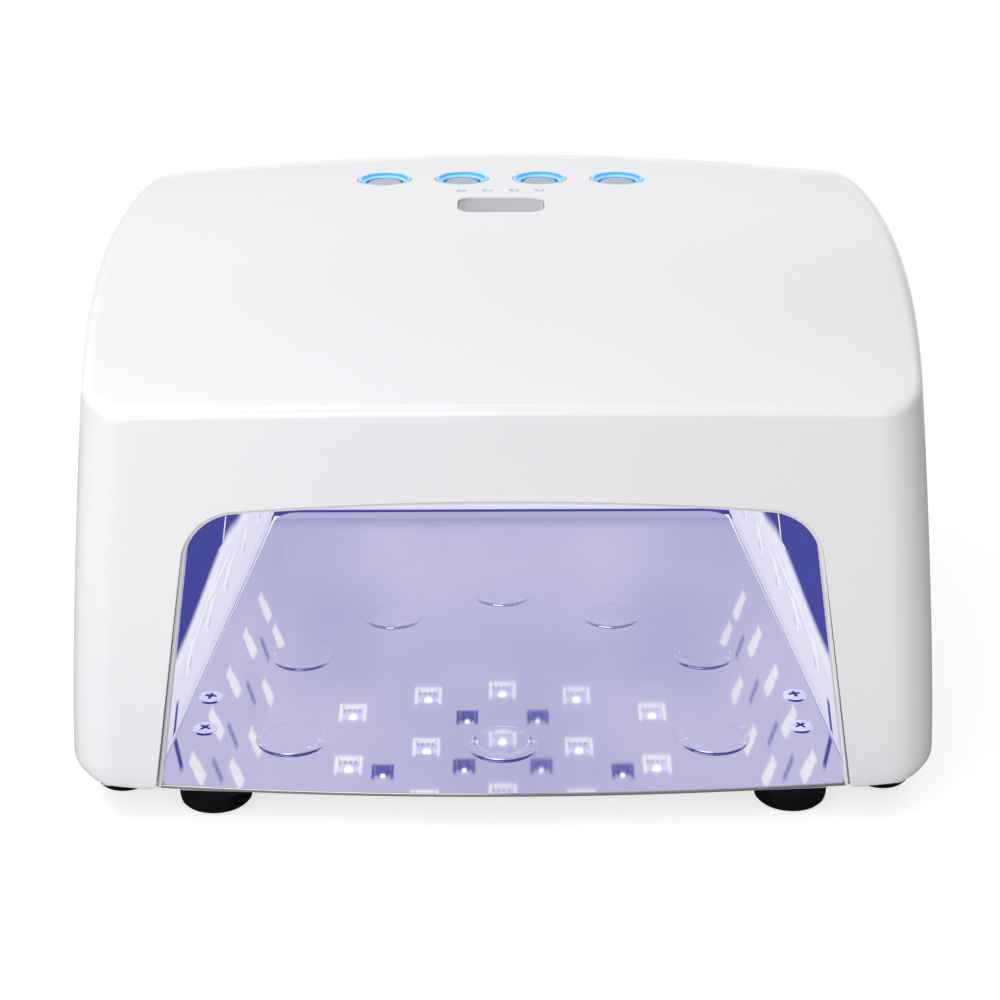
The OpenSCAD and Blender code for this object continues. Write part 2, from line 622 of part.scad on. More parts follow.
cell_rows = 3;
cell_step = cell_d + 0.6;
holder_y = 16;
holder_t = 1.6;
holder_l = cell_rows * cell_step + 4;
module battery_holder() {
    color([0.16, 0.16, 0.17]) on_ceiling(0, holder_y) translate([0, 0, lamp_board_z]) {
        translate([-holder_half, 0, 0]) cube([2 * holder_half, holder_l, holder_t]);
        for (x = [-holder_half, -0.7, holder_half - 1.4])
            translate([x, 0, 0]) cube([1.4, holder_l, cell_d * 0.72]);
        for (r = [0:cell_rows])
            translate([-holder_half, r * cell_step + (r == 0 ? 0 : r == cell_rows ? 2.6 : 1.7), 0])
                cube([2 * holder_half, r == 0 || r == cell_rows ? 1.4 : 0.4, 4]);
    }
}
module battery_cells() {
    axis_z = lamp_board_z + holder_t + cell_d / 2 + small_gap;
    color([0.20, 0.36, 0.62]) on_ceiling(0, holder_y) for (r = [0:cell_rows - 1], s = [-1, 1])
        translate([s * (cell_l / 2 + 1), 2 + cell_step * (r + 0.5), axis_z])
            rotate([0, 90, 0]) {
                cylinder(d = cell_d, h = cell_l - 1.5, center = true);
                cylinder(d = 6, h = cell_l, center = true);
            }
}

/* Control panel */

function button_x(i) = (i - 1.5) * button_pitch;
function button_top(i) = top_z([button_x(i), button_y]);
module placed_button(i) { translate([button_x(i), button_y, button_top(i) - 10]) children(); }
function mark_x(i) = (i - 1.5) * mark_pitch;
mark_r = 1.5;
control_z = top_z([0, button_y]) - 15.8;       // underside of the control board
control_top = control_z + board_t;
control_w = 2 * panel_screw_x + 12;
control_y0 = panel_screw_y[0] - 5;
control_y1 = panel_screw_y[1] + 5;
switch_h = 5;
stem_gap = button_travel + gap;

module control_board() {
    color(board_color) difference() {
        translate([-control_w / 2, control_y0, control_z])
            cube([control_w, control_y1 - control_y0, board_t]);
        both_sides() for (y = panel_screw_y) translate([panel_screw_x, y, control_z - 1])
            cylinder(r = screw_r + small_gap, h = board_t + 2);
    }
}
module panel_screws() {
    color(steel_color) both_sides() for (y = panel_screw_y)
        translate([panel_screw_x, y, control_z]) mirror([0, 0, 1]) pan_screw(2.7, 1.8, 8);
}
module tact_switches() {
    color([0.12, 0.12, 0.13]) for (i = [0:3]) translate([button_x(i), button_y, control_top]) {
        translate([-3, -3, 0]) cube([6, 6, 3.6]);
        cylinder(r = 1.7, h = switch_h);
    }
}
module panel_lights() { // small lights under each ring and each indicator
    color(lamp_color) {
        for (i = [0:3], a = [0:90:270]) translate([button_x(i), button_y, control_top]) rotate([0, 0, a])
            translate([ring_d / 2 - 2.4, -0.8, 0]) cube([1, 1.6, 0.8]);
        for (i = [0:3]) translate([mark_x(i) - 0.8, mark_y - 0.5, control_top]) cube([1.6, 1, 0.8]);
    }
}
display_top = top_z([display_w / 2, display_y - display_l / 2]) - 0.3;
window_flange_z = display_top + 0.3 - shell_wall - gap;
window_flange_t = 1;
module display_window() {
    color([0.66, 0.65, 0.69]) translate([0, display_y, 0]) {
        slab(window_flange_z, display_top)
            hull_rect(display_w - 2 * small_gap, display_l - 2 * small_gap, 3.4);
        slab(window_flange_z - window_flange_t, window_flange_z) hull_rect(display_w + 4, display_l + 4, 4);
    }
}
module display_module() {
    glass_z = control_top + 4;
    top = window_flange_z - window_flange_t - gap;
    color([0.20, 0.21, 0.22]) translate([-display_w / 2, display_y - display_l / 2, 0]) {
        translate([0, 0, control_top]) cube([display_w, display_l, glass_z - control_top]);
        translate([1, 1, glass_z]) cube([display_w - 2, display_l - 2, top - glass_z]);
    }
}
module indicator_lenses() {
    flange_z = top_z([0, mark_y]) - shell_wall - gap;
    color(blue_color) for (i = [0:3]) translate([mark_x(i), mark_y, 0]) {
        slab(control_top + 0.8 + gap, top_z([mark_x(i), mark_y])) circle(r = mark_r, $fn = 32);
        slab(flange_z - 1, flange_z) circle(r = 2.4, $fn = 32);
    }
}
module button_rings() { // dished light rings, lit from the board below
    r = ring_d / 2;
    bore = cap_d / 2 + gap;
    flange = shell_wall + 0.9;
    color(blue_color) for (i = [0:3]) translate([button_x(i), button_y, button_top(i)])
        rotate_extrude($fn = 64) polygon([[bore, -cap_sink - 0.5], [bore + 0.35, -cap_sink - 0.25],
            [r - 1.3, 0.1], [r - 0.6, 0.3], [r - 0.1, 0.1], [r - 0.1, -flange], [r + 1.2, -flange],
            [r + 1.2, -flange - 1], [r - 0.6, -flange - 1], [r - 0.6, -9.5], [bore + 0.9, -9.5],
            [bore + 0.9, -5], [bore, -5]]);
}
module button_cap(i) {
    r = cap_d / 2;
    z = button_top(i);
    stem_z = control_top + switch_h + stem_gap - z;
    lip_z = -5 - gap;                          // the cap's lip stops under the ring
    color([0.74, 0.73, 0.77]) translate([button_x(i), button_y, z])
        rotate_extrude($fn = 64) polygon([[0, -cap_sink + 0.25], [r * 0.55, -cap_sink + 0.12],
            [r - 0.5, -cap_sink - 0.1], [r, -cap_sink - 0.6], [r, lip_z], [r + 0.9, lip_z],
            [r + 0.9, lip_z - 0.8], [1.8, lip_z - 0.8], [1.8, stem_z], [0, stem_z]]);
}
module button_cap_1() { button_cap(0); }
module button_cap_2() { button_cap(1); }
module button_cap_3() { button_cap(2); }
module button_cap_4() { button_cap(3); }

/* Power */

socket_nose_r = 4.8;
socket_back = back_point(socket_x)[1] - 1;
socket_l = 12;
charge_w = 19;
charge_h = 30;
socket_body_h = 12;
charge_y = socket_back - socket_l - board_t;   // front of the charging board
socket_bore_l = 9.5;
module charge_board() {
    color(board_color) translate([socket_x - charge_w / 2, charge_y, frame_top + 2])
        cube([charge_w, board_t, charge_h]);
}
module power_socket() {
    y0 = charge_y + board_t;
    color([0.07, 0.07, 0.08]) difference() {
        union() {
            translate([socket_x - 4.6, y0, socket_z - 6.5])
                cube([9.2, socket_l - shell_wall - 1.2, socket_body_h]);
            translate([socket_x, y0, socket_z]) rotate([-90, 0, 0])
                cylinder(r = socket_nose_r, h = socket_back - y0);
        }
        translate([socket_x, socket_back - socket_bore_l, socket_z]) rotate([-90, 0, 0])
            cylinder(d = socket_bore_d, h = socket_bore_l + 1);
    }
}
module socket_pin() {
    color(steel_color) translate([socket_x, socket_back - socket_bore_l, socket_z]) rotate([-90, 0, 0])
        cylinder(r = 1.05, h = socket_bore_l - 1);
}
magnet_r = 1.3;
magnet_x = 52;
magnet_z = frame_z + frame_t / 2;
keeper_l = 11.7;
module dock_magnets() {
    color(steel_color) both_sides() translate([magnet_x, back_y - gap + 0.6, magnet_z]) rotate([-90, 0, 0])
        cylinder(r = magnet_r, h = 4);
}

/* Tray */

base_top = tray_z - plate_t;
base_z = base_top - tray_base_t;
plate_back_gap = 1.8;
module plate_outline(side, front, back) { // inset by side, front and back from the plate's own edge
    y1 = back_y - gap - back;
    hull() {
        polygon(concat([for (i = [-10:10]) let (x = (opening_w / 2 - plate_r) * i / 10)
            [x, front - tray_bow * (1 - pow(x / (opening_w / 2), 2))]], [[0, 20]]));
        for (s = [-1, 1]) {
            translate([s * (floor_x(plate_r) - side - plate_r), front + plate_r + 0.6])
                circle(r = plate_r, $fn = 48);
            translate([s * (floor_x(y1) - side - plate_back_r), y1 - plate_back_r])
                circle(r = plate_back_r, $fn = 48);
        }
    }
}
rest_spots = [[35, 112.3, tip_rest_d], [62, 83.4, tip_rest_d], [60.6, 30.8, front_rest_d]];
rests = concat([[0, 128.9, tip_rest_d], [0, 27.2, front_rest_d]],
    [for (s = [-1, 1], r = rest_spots) [s * r[0], r[1], r[2]]]);
tray_screw_spots = [[floor_x(56.2) - 5.8, 56.2], [floor_x(36.8) - 8.1, 36.8]];
tray_foot_spots = [[floor_x(0) - 16.8, 13.7], [floor_x(back_y) - 12, back_y - 22]];
module finger_rest(d) {
    rotate_extrude($fn = 96) polygon([[0, -0.1], [d / 2, -0.1], [d / 2, 0], [d / 2 - 0.25, rest_h * 0.55],
        [d / 2 - 0.8, rest_h], [d / 2 - 1.6, rest_h], [d / 2 - 2.4, rest_h * 0.72], [0, rest_h * 0.72]]);
}
module tray_plate() {
    color(mirror_color) difference() {
        union() {
            slab(base_top, tray_z) plate_outline(0.4, 0, plate_back_gap);
            for (r = rests) translate([r[0], r[1], tray_z]) finger_rest(r[2]);
        }
        both_sides() for (p = tray_screw_spots)
            translate([p[0], p[1], 0]) cylinder(r = screw_r + small_gap, h = 20);
    }
}
module tray_base() {
    pocket = 21;
    rib = 2;
    color([0.86, 0.86, 0.88]) difference() {
        slab(base_z, base_top) plate_outline(1, 9, 0);
        for (i = [-2:2], j = [0:6])
            translate([i * (pocket + rib) - pocket / 2, 25.5 + j * (pocket + rib), base_z - 1])
                cube([pocket, pocket, 3]);
        both_sides() {
            for (f = tray_foot_spots) translate([f[0], f[1], base_z - 1]) cylinder(r = stem_r + 0.1, h = 3);
            for (p = tray_screw_spots) translate([p[0], p[1], 0]) cylinder(r = screw_r, h = 20);
            translate([magnet_x - keeper_l / 2 - small_gap, back_y - gap - 1.6, base_z + 0.4])
                cube([keeper_l + 2 * small_gap, 2, tray_base_t - 0.8]);
        }
    }
}
module tray_screws() {
    color(steel_color) both_sides() for (p = tray_screw_spots)
        translate([p[0], p[1], tray_z]) pan_screw(tray_screw_d / 2, 1.3, plate_t + tray_base_t - 0.3);
}
module tray_feet() {
    color(rubber_color) both_sides() for (f = tray_foot_spots)
        translate([f[0], f[1], 0]) foot(tray_foot_d, base_z, 1.7);
}
module tray_keepers() { // steel plates that the dock magnets hold
    color(steel_color) both_sides() translate([magnet_x - keeper_l / 2, back_y - gap - 1.45, base_z + 0.5])
        cube([keeper_l, 1.4, tray_base_t - 1]);
}

placed() upper_shell();
placed() opening_trim();
placed() base_frame();
placed() housing_feet();
placed() housing_screws();
placed() ceiling_reflector();
placed() left_reflector();
placed() right_reflector();
placed() back_reflector();
placed() ceiling_frame();
placed() frame_screws();
placed() ceiling_board();
placed() ceiling_lamps();
placed() bright_cups();
placed() dim_cups();
placed() left_board();
placed() left_lamps();
placed() right_board();
placed() right_lamps();
placed() heat_sink();
placed() battery_holder();
placed() battery_cells();
placed() control_board();
placed() panel_screws();
placed() tact_switches();
placed() panel_lights();
placed() display_module();
placed() display_window();
placed() indicator_lenses();
placed() button_rings();
placed() charge_board();
placed() power_socket();
placed() socket_pin();
placed() dock_magnets();
placed() button_cap_1();
placed() button_cap_2();
placed() button_cap_3();
placed() button_cap_4();
placed() tray_plate();
placed() tray_base();
placed() tray_screws();
placed() tray_feet();
placed() tray_keepers();
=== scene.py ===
from math import atan, cos, pi, radians, sin, tan

import bmesh
import bpy
import numpy as np
from mathutils import Matrix, Vector


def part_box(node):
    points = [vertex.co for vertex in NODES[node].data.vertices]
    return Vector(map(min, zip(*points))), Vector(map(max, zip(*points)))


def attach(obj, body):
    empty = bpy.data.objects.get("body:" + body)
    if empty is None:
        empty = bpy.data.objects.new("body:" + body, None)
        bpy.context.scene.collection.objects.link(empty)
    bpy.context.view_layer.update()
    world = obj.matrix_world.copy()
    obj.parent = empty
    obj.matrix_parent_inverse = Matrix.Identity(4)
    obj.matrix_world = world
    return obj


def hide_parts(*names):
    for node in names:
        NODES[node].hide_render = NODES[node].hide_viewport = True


# Looks of the cordless nail lamp. Blender's unit is the metre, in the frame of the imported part. The
# sizes below are in millimetres: x from the middle, y from the front face and z from the table, as
# in the part's source, and mm() converts them. Angles are in degrees.

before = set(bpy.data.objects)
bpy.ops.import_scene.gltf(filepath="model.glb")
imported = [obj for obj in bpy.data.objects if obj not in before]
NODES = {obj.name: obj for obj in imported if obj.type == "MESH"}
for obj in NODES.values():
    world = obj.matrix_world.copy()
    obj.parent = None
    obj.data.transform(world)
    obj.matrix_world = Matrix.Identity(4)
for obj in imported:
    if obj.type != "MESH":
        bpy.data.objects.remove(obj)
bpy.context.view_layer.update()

# housing: plan and top, walls and drafts, edges
BODY_W, BODY_D, CREASE_Z, TOP_RISE, TOP_LINE_Y = 240.0, 214.0, 121.0, 24.4, 124.0
FRONT_CROWN, BACK_CROWN, WIDEST_Y, SIDE_BULGE, BACK_BOW = 1.2, 5.4, 100.0, 0.5, 4.0
CROWN_GROWTH, CROWN_SECTION, TOP_FALL, TIP_Y = 4.1, 2.15, 4.1, TOP_LINE_Y * 0.8
FRONT_R, BACK_R, WALL, SIDE_DRAFT, FRONT_DRAFT = 13.0, 23.0, 2.6, 5.0, 1.2
CORNER_DRAFT, DRAFT_BLEND, LEAN_POWER = 11.0, 120.0, 1.27
CREASE_R, EDGE_R, RIM_Z, TUCK, TUCK_H = 2.0, 5.2, 10.1, 5.4, 5.7
CREASE_END_Y, EDGE_BLEND, LEAST_R = 4.0, 60.0, 0.6
# the lower edge's lift towards the front corners, and how far it reaches
LIFT, LIFT_X, LIFT_W, LIFT_Y, LIFT_H = 2.0, 97.5, 18.0, 90.0, 45.0
# opening and chamber
OPENING_W, OPENING_H, OPENING_CROWN, OPENING_R, LEAN = 191.0, 86.2, 2.6, 16.0, 8.6
OPENING_GAP, OPENING_FLARE = 0.12, 2.4
FLOOR_W, TAPER, CHAMBER_D, CEILING_Z0, CEILING_Y0, SLOPE = 195.2, 4.7, 200.5, 93.7, 8.0, 10.2
# tray: plate, finger rests (x, y, diameter), which stand on both sides where x isn't 0, and screws
# (x, y, turn of the cross)
TRAY_Z, TRAY_BOW, PLATE_T, PLATE_BACK, PLATE_SOFT = 9.5, 3.8, 1.0, CHAMBER_D - 2.1, 0.3
EDGE_BOW, EDGE_AHEAD, EDGE_HALF, EDGE_END, SIDE_GAP = 5.6, 1.0, 95.0, 94.4, 0.4
PLATE_FRONT_R, PLATE_FRONT_Y, PLATE_BACK_R = 2.2, 6.75, 8.0
RESTS = ((0, 128.9, 19), (0, 27.2, 21), (35, 112.3, 19), (62, 83.4, 19), (60.6, 30.8, 21))
TRAY_SCREWS = ((87.2, 56.2, 12), (86.5, 36.8, 38))
SCREW_R, SCREW_H = 3.5, 0.85
# panel on the top
RING_D, CAP_D, CAP_SINK, BUTTON_PITCH, BUTTON_Y = 16.8, 10.9, 0.8, 24.2, 145.5
DISPLAY_W, DISPLAY_L, DISPLAY_Y, DISPLAY_R = 26.0, 17.0, 112.5, 4.7
MARK_PITCH, MARK_Y, MARK_R = 7.95, 129.0, 1.5
# back: socket and cooling slots
SOCKET_X, SOCKET_Z, SOCKET_R = 94.0, 27.0, 5.0
SLOT_R, SLOT_HALF, SLOT_PITCH, SLOT_Z = 1.2, 14.0, 6.5, 86.0
SLOT_PLACES, SLOTS_LEFT_OUT = 19, 3
# ceiling lamps: bright ones in rows that sag to the sides, and unlit ones (x, y) on both sides
LAMP_PITCH, LAMP_ROWS, ROW_SAG = 26.2, (112.0, 139.0, 167.0), 12.4
DIM_SPOTS = ((12.3, 151.8), (13.1, 125.7), (40.6, 123.0))
# side walls: painted light of lit windows and painted deep blue marks (y, height over the tray),
# and painted streaks of reflected light (y, height, slope, length)
SIDE_WINDOWS = [(46.6 + 28 * i, 18.8) for i in range(5)]
SIDE_WINDOWS += [(83.6 + 28 * i, height) for i, height in enumerate((41.5, 45.5, 42.0, 35.0))]
SIDE_MARKS = ((65, 29.8), (88.5, 30.6), (119, 31.4), (147, 29.0))
STREAKS = ((41.3, 18.8, 0.306, 44), (62.0, 17.2, 0.242, 24), (90.0, 17.4, 0.28, 28),
           (68.0, 25.6, 0.064, 34))

FRONT_Y = -(BODY_D - TRAY_BOW) / 2


def mm(p):
    return p[0] / 1000, (p[1] + FRONT_Y) / 1000, p[2] / 1000


# ---- camera, lights and sky ----

LENS, SENSOR, CAMERA_DOWN, CAMERA_ROLL = 79.2, 36.0, 22.6, -0.21
# places in metres, in the frame
CAMERA_PLACE = (-0.0006, -0.6333, 0.3164)
# name, place, target, size and power in watts
LIGHTS = (
    ("front_panel", (-0.42, -0.80, 0.30), (0, -0.1, 0.07), (1.0, 0.7), 4.5),
    ("top_panel", (-0.30, -0.30, 0.90), (0, 0, 0.1), (0.6, 0.6), 1.95),
    ("side_panel", (-0.50, 0.10, 0.75), (0, 0, 0.1), (0.4, 0.4), 0.75),
)
# bright parts of the sky, behind and in front: direction, power and peak
SKY_LOBES = (((0.0, 0.92, 0.38), 4.0, 1.07), ((0.0, -1.0, 0.3), 3.0, 0.80))
SKY_LEAST, SKY_COLOR = 0.02, (0.985, 0.985, 1.0, 1)


def placed(name, data):
    o = bpy.data.objects.new(name, data)
    bpy.context.scene.collection.objects.link(o)
    return o


def put(tree, socket, value):
    """Sets a socket's own value, or links another node's output to it."""
    if hasattr(value, "is_linked"):
        tree.links.new(value, socket)
    else:
        socket.default_value = value


def math_node(tree, operation, a, b=0.0, c=0.0, clamp=False):
    n = tree.nodes.new("ShaderNodeMath")
    n.operation = operation
    n.use_clamp = clamp
    for socket, value in zip(n.inputs, (a, b, c)):
        put(tree, socket, value)
    return n.outputs[0]


def studio_sky():
    """A sky of soft lobes. The camera, and a ray that passes through a piece, see plain white."""
    world = bpy.data.worlds.new("studio")
    bpy.context.scene.world = world
    world.use_nodes = True
    tree = world.node_tree
    tree.nodes.clear()
    kinds = ("OutputWorld", "Background", "Background", "MixShader", "LightPath", "TexCoord")
    out, light, white, mix, path, coord = (tree.nodes.new("ShaderNode" + kind) for kind in kinds)
    strength = SKY_LEAST
    for direction, power, peak in SKY_LOBES:
        dot = tree.nodes.new("ShaderNodeVectorMath")
        dot.operation = "DOT_PRODUCT"
        dot.inputs[1].default_value = Vector(direction).normalized()
        tree.links.new(coord.outputs["Generated"], dot.inputs[0])
        half = math_node(tree, "MULTIPLY_ADD", dot.outputs["Value"], 0.5, 0.5)
        lobe = math_node(tree, "POWER", half, power)
        strength = math_node(tree, "MULTIPLY_ADD", lobe, peak, strength)
    light.inputs["Color"].default_value = SKY_COLOR
    put(tree, light.inputs["Strength"], strength)
    white.inputs["Color"].default_value = (1, 1, 1, 1)
    white.inputs["Strength"].default_value = 1.0
    seen = (path.outputs[ray] for ray in ("Is Camera Ray", "Is Transmission Ray"))
    seen = math_node(tree, "MAXIMUM", *seen)
    for source, socket in ((seen, mix.inputs[0]), (light.outputs[0], mix.inputs[1]),
                           (white.outputs[0], mix.inputs[2]), (mix.outputs[0], out.inputs["Surface"])):
        tree.links.new(source, socket)


camera_data = bpy.data.cameras.new("camera")
camera_data.lens = LENS
camera_data.sensor_width = SENSOR
camera = placed("camera", camera_data)
camera.location = CAMERA_PLACE
camera.rotation_euler = (Matrix.Rotation(radians(90 - CAMERA_DOWN), 3, "X")
                         @ Matrix.Rotation(radians(CAMERA_ROLL), 3, "Z")).to_euler()
bpy.context.scene.camera = camera
bpy.context.scene.view_settings.view_transform = "Standard"

for name, place, target, size, power in LIGHTS:
    light_data = bpy.data.lights.new(name, "AREA")
    light_data.shape = "RECTANGLE"
    light_data.size, light_data.size_y = size
    light_data.energy = power
    light = placed(name, light_data)
    light.location = place
    light.rotation_euler = (Vector(target) - Vector(place)).to_track_quat("-Z", "Y").to_euler()

studio_sky()


# ---- node helpers ----

class Graph:
    """A material with a Principled shader, and short calls for the nodes that drive it."""

    def __init__(self, name, **values):
        self.mat = bpy.data.materials.new(name)
        self.mat.use_nodes = True
        self.tree = self.mat.node_tree
        self.nodes, self.links = self.tree.nodes, self.tree.links
        self.nodes.clear()
        out = self.nodes.new("ShaderNodeOutputMaterial")
        self.bsdf = self.nodes.new("ShaderNodeBsdfPrincipled")
        self.links.new(self.bsdf.outputs[0], out.inputs["Surface"])
        for key, value in values.items():
            self.bsdf.inputs[key.replace("_", " ")].default_value = value
        self.coord = self.nodes.new("ShaderNodeTexCoord").outputs["Object"]
        self.xyz = None

    def axis(self, name):
        """Object coordinate in millimetres: x, y from the front face, or z over the table."""
        if self.xyz is None:
            n = self.nodes.new("ShaderNodeSeparateXYZ")
            self.links.new(self.coord, n.inputs[0])
            self.xyz = n.outputs
        value = self.math("MULTIPLY", self.xyz[name.upper()], 1000.0)
        return self.math("SUBTRACT", value, FRONT_Y) if name == "y" else value

    def normal(self, axis):
        """One component of the surface's direction."""
        n = self.nodes.new("ShaderNodeSeparateXYZ")
        self.links.new(self.nodes.new("ShaderNodeNewGeometry").outputs["Normal"], n.inputs[0])
        return n.outputs[axis.upper()]

    def grazing(self):
        """1 where the surface is seen at a grazing angle."""
        return self.smooth(self.nodes.new("ShaderNodeLayerWeight").outputs["Facing"], 0.78, 0.84)

    def math(self, operation, a, b=0.0, c=0.0, clamp=False):
        return math_node(self.tree, operation, a, b, c, clamp)

    def apart(self, a, b):
        """The distance between two values."""
        return self.math("ABSOLUTE", self.math("SUBTRACT", a, b))

    def length(self, a, b):
        squares = self.math("ADD", self.math("MULTIPLY", a, a), self.math("MULTIPLY", b, b))
        return self.math("SQRT", squares)

    def product(self, value, *others):
        for other in others:
            value = self.math("MULTIPLY", value, other)
        return value

    def most(self, value, *others):
        for other in others:
            value = self.math("MAXIMUM", value, other)
        return value

    def smooth(self, value, low, high, to_low=0.0, to_high=1.0):
        """A soft step from to_low to to_high, while value goes from low to high."""
        n = self.nodes.new("ShaderNodeMapRange")
        n.interpolation_type = "SMOOTHSTEP"
        keys = ("Value", "From Min", "From Max", "To Min", "To Max")
        for key, v in zip(keys, (value, low, high, to_low, to_high)):
            put(self.tree, n.inputs[key], v)
        return n.outputs[0]

    def fade(self, value, low, high):
        """1 below low and 0 above high."""
        return self.smooth(value, low, high, 1.0, 0.0)

    def noise(self, scale, detail=2.0, stretch=None):
        n = self.nodes.new("ShaderNodeTexNoise")
        n.inputs["Scale"].default_value = scale
        n.inputs["Detail"].default_value = detail
        vector = self.coord
        if stretch:
            m = self.nodes.new("ShaderNodeMapping")
            m.inputs["Scale"].default_value = stretch
            self.links.new(vector, m.inputs["Vector"])
            vector = m.outputs[0]
        self.links.new(vector, n.inputs["Vector"])
        return n.outputs["Fac"]

    def soft(self, scale, detail=2.0, to_low=0.0, to_high=1.0, stretch=None):
        """A slow noise between two values."""
        return self.smooth(self.noise(scale, detail, stretch), 0.3, 0.7, to_low, to_high)

    def mix(self, factor, a, b):
        n = self.nodes.new("ShaderNodeMix")
        n.data_type = "RGBA"
        put(self.tree, n.inputs[0], factor)
        for socket, v in ((n.inputs[6], a), (n.inputs[7], b)):
            put(self.tree, socket, (*v, 1) if isinstance(v, tuple) else v)
        return n.outputs[2]

    def color(self, value):
        self.links.new(value, self.bsdf.inputs["Base Color"])

    def rough(self, value):
        self.links.new(value, self.bsdf.inputs["Roughness"])

    def emit(self, value, strength=1.0):
        self.links.new(value, self.bsdf.inputs["Emission Color"])
        put(self.tree, self.bsdf.inputs["Emission Strength"], strength)

    def bump(self, height, distance, strength=0.4, edge_radius=0.0):
        """A small relief in metres, over edges that look rounded by edge_radius."""
        n = self.nodes.new("ShaderNodeBump")
        n.inputs["Distance"].default_value = distance
        n.inputs["Strength"].default_value = strength
        self.links.new(height, n.inputs["Height"])
        if edge_radius:
            edge = self.nodes.new("ShaderNodeBevel")
            edge.samples = 6
            edge.inputs["Radius"].default_value = edge_radius
            self.links.new(edge.outputs[0], n.inputs["Normal"])
        self.links.new(n.outputs[0], self.bsdf.inputs["Normal"])


# ---- mesh helpers ----

FLAT_FROM = 9  # a face with this many corners is a flat cap


def new_piece(name, verts, faces, material, body, slot, smooth_angle=30.0):
    """A finished piece from vertices in metres."""
    me = bpy.data.meshes.new(name)
    me.from_pydata([tuple(v) for v in verts], [], [tuple(f) for f in faces])
    me.materials.append(material)
    return finished(name, me, body, slot, smooth_angle)


def finished(name, me, body, slot, smooth_angle):
    """A piece from a plain mesh that has its material."""
    me.validate()
    me.set_sharp_from_angle(angle=radians(smooth_angle))
    me.polygons.foreach_set("use_smooth", [len(p.vertices) < FLAT_FROM for p in me.polygons])
    me.update()
    o = placed(name, me)
    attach(o, body)
    return o


def arc(cx, cy, r, a0, a1, steps):
    """Points on an arc from a0 to a1 degrees."""
    angles = [radians(a0 + (a1 - a0) * k / steps) for k in range(steps + 1)]
    return [(cx + r * cos(a), cy + r * sin(a)) for a in angles]


def rounded_rect(w, l, r):
    x, y = w / 2 - r, l / 2 - r
    corners = ((x, y, 0), (-x, y, 90), (-x, -y, 180), (x, -y, 270))
    return [p for cx, cy, a0 in corners for p in arc(cx, cy, r, a0, a0 + 90, 6)]


def lathe(profile, n=64, closed=False):
    """Vertices (mm) and faces of a profile [(r, z), ...] turned about +Z."""
    verts, faces, rows = [], [], []
    for r, z in profile:
        if r < 1e-6:
            rows.append([len(verts)] * n)
            verts.append((0, 0, z))
        else:
            rows.append(list(range(len(verts), len(verts) + n)))
            verts += [(r * cos(2 * pi * i / n), r * sin(2 * pi * i / n), z) for i in range(n)]
    pairs = list(zip(rows, rows[1:])) + ([(rows[-1], rows[0])] if closed else [])
    for a, b in pairs:
        for i in range(n):
            j = (i + 1) % n
            f = [a[i], a[j], b[j], b[i]]
            f = [v for k, v in enumerate(f) if v != f[k - 1]]
            if len(f) > 2:
                faces.append(f)
    # a profile that runs clockwise turns the faces inwards
    nexts = profile[1:] + profile[:1]
    area = sum(r * next_z - next_r * z for (r, z), (next_r, next_z) in zip(profile, nexts))
    return verts, faces if area > 0 else [f[::-1] for f in faces]


def rounded_profile(points, radius, steps=4, closed=False):
    """The profile with each inner corner rounded."""
    out = []
    n = len(points)
    for i, p in enumerate(points):
        if not closed and i in (0, n - 1):
            out.append(tuple(p))
            continue
        p, a, b = Vector(p), Vector(points[i - 1]), Vector(points[(i + 1) % n])
        u, v = a - p, b - p
        reach = 0.49 * min(u.length, v.length)
        u.normalize()
        v.normalize()
        angle = u.angle(v)
        if angle > pi - 0.05:
            out.append(tuple(p))
            continue
        cut = min(radius / tan(angle / 2), reach)
        start, end = p + u * cut, p + v * cut
        for w in (k / steps for k in range(steps + 1)):
            out.append(tuple((start * (1 - w) + p * w) * (1 - w) + (p * (1 - w) + end * w) * w))
    return out


def stacked(sections):
    """A closed solid through plan outlines [(points, z), ...] of equal length."""
    n = len(sections[0][0])
    top = (len(sections) - 1) * n
    verts = [(p[0], p[1], z) for points, z in sections for p in points]
    faces = [list(range(n))[::-1]]
    for low in range(0, top, n):
        faces += [[low + i, low + (i + 1) % n, low + n + (i + 1) % n, low + n + i] for i in range(n)]
    return verts, faces + [[top + i for i in range(n)]]


class Mesh:
    """Gathers several shapes into one piece, in mm."""

    def __init__(self):
        self.verts, self.faces = [], []

    def add(self, shape, move=(0, 0, 0), turn=Matrix.Identity(3)):
        verts, faces = shape
        base = len(self.verts)
        self.verts += [[a + b for a, b in zip(turn @ Vector(v), move)] for v in verts]
        self.faces += [[i + base for i in f] for f in faces]
        return self

    def take(self, me):
        """Adds a plain mesh that is in its place in the frame."""
        base = len(self.verts)
        self.verts += [(v.co.x * 1000, v.co.y * 1000 - FRONT_Y, v.co.z * 1000) for v in me.vertices]
        self.faces += [[i + base for i in face.vertices] for face in me.polygons]

    def piece(self, name, material, body, slot, smooth_angle=30.0):
        verts = [mm(v) for v in self.verts]
        return new_piece(name, verts, self.faces, material, body, slot, smooth_angle)


def plain(o):
    """A plain mesh of an object with its modifiers applied."""
    bpy.context.view_layer.update()
    return bpy.data.meshes.new_from_object(o.evaluated_get(bpy.context.evaluated_depsgraph_get()))


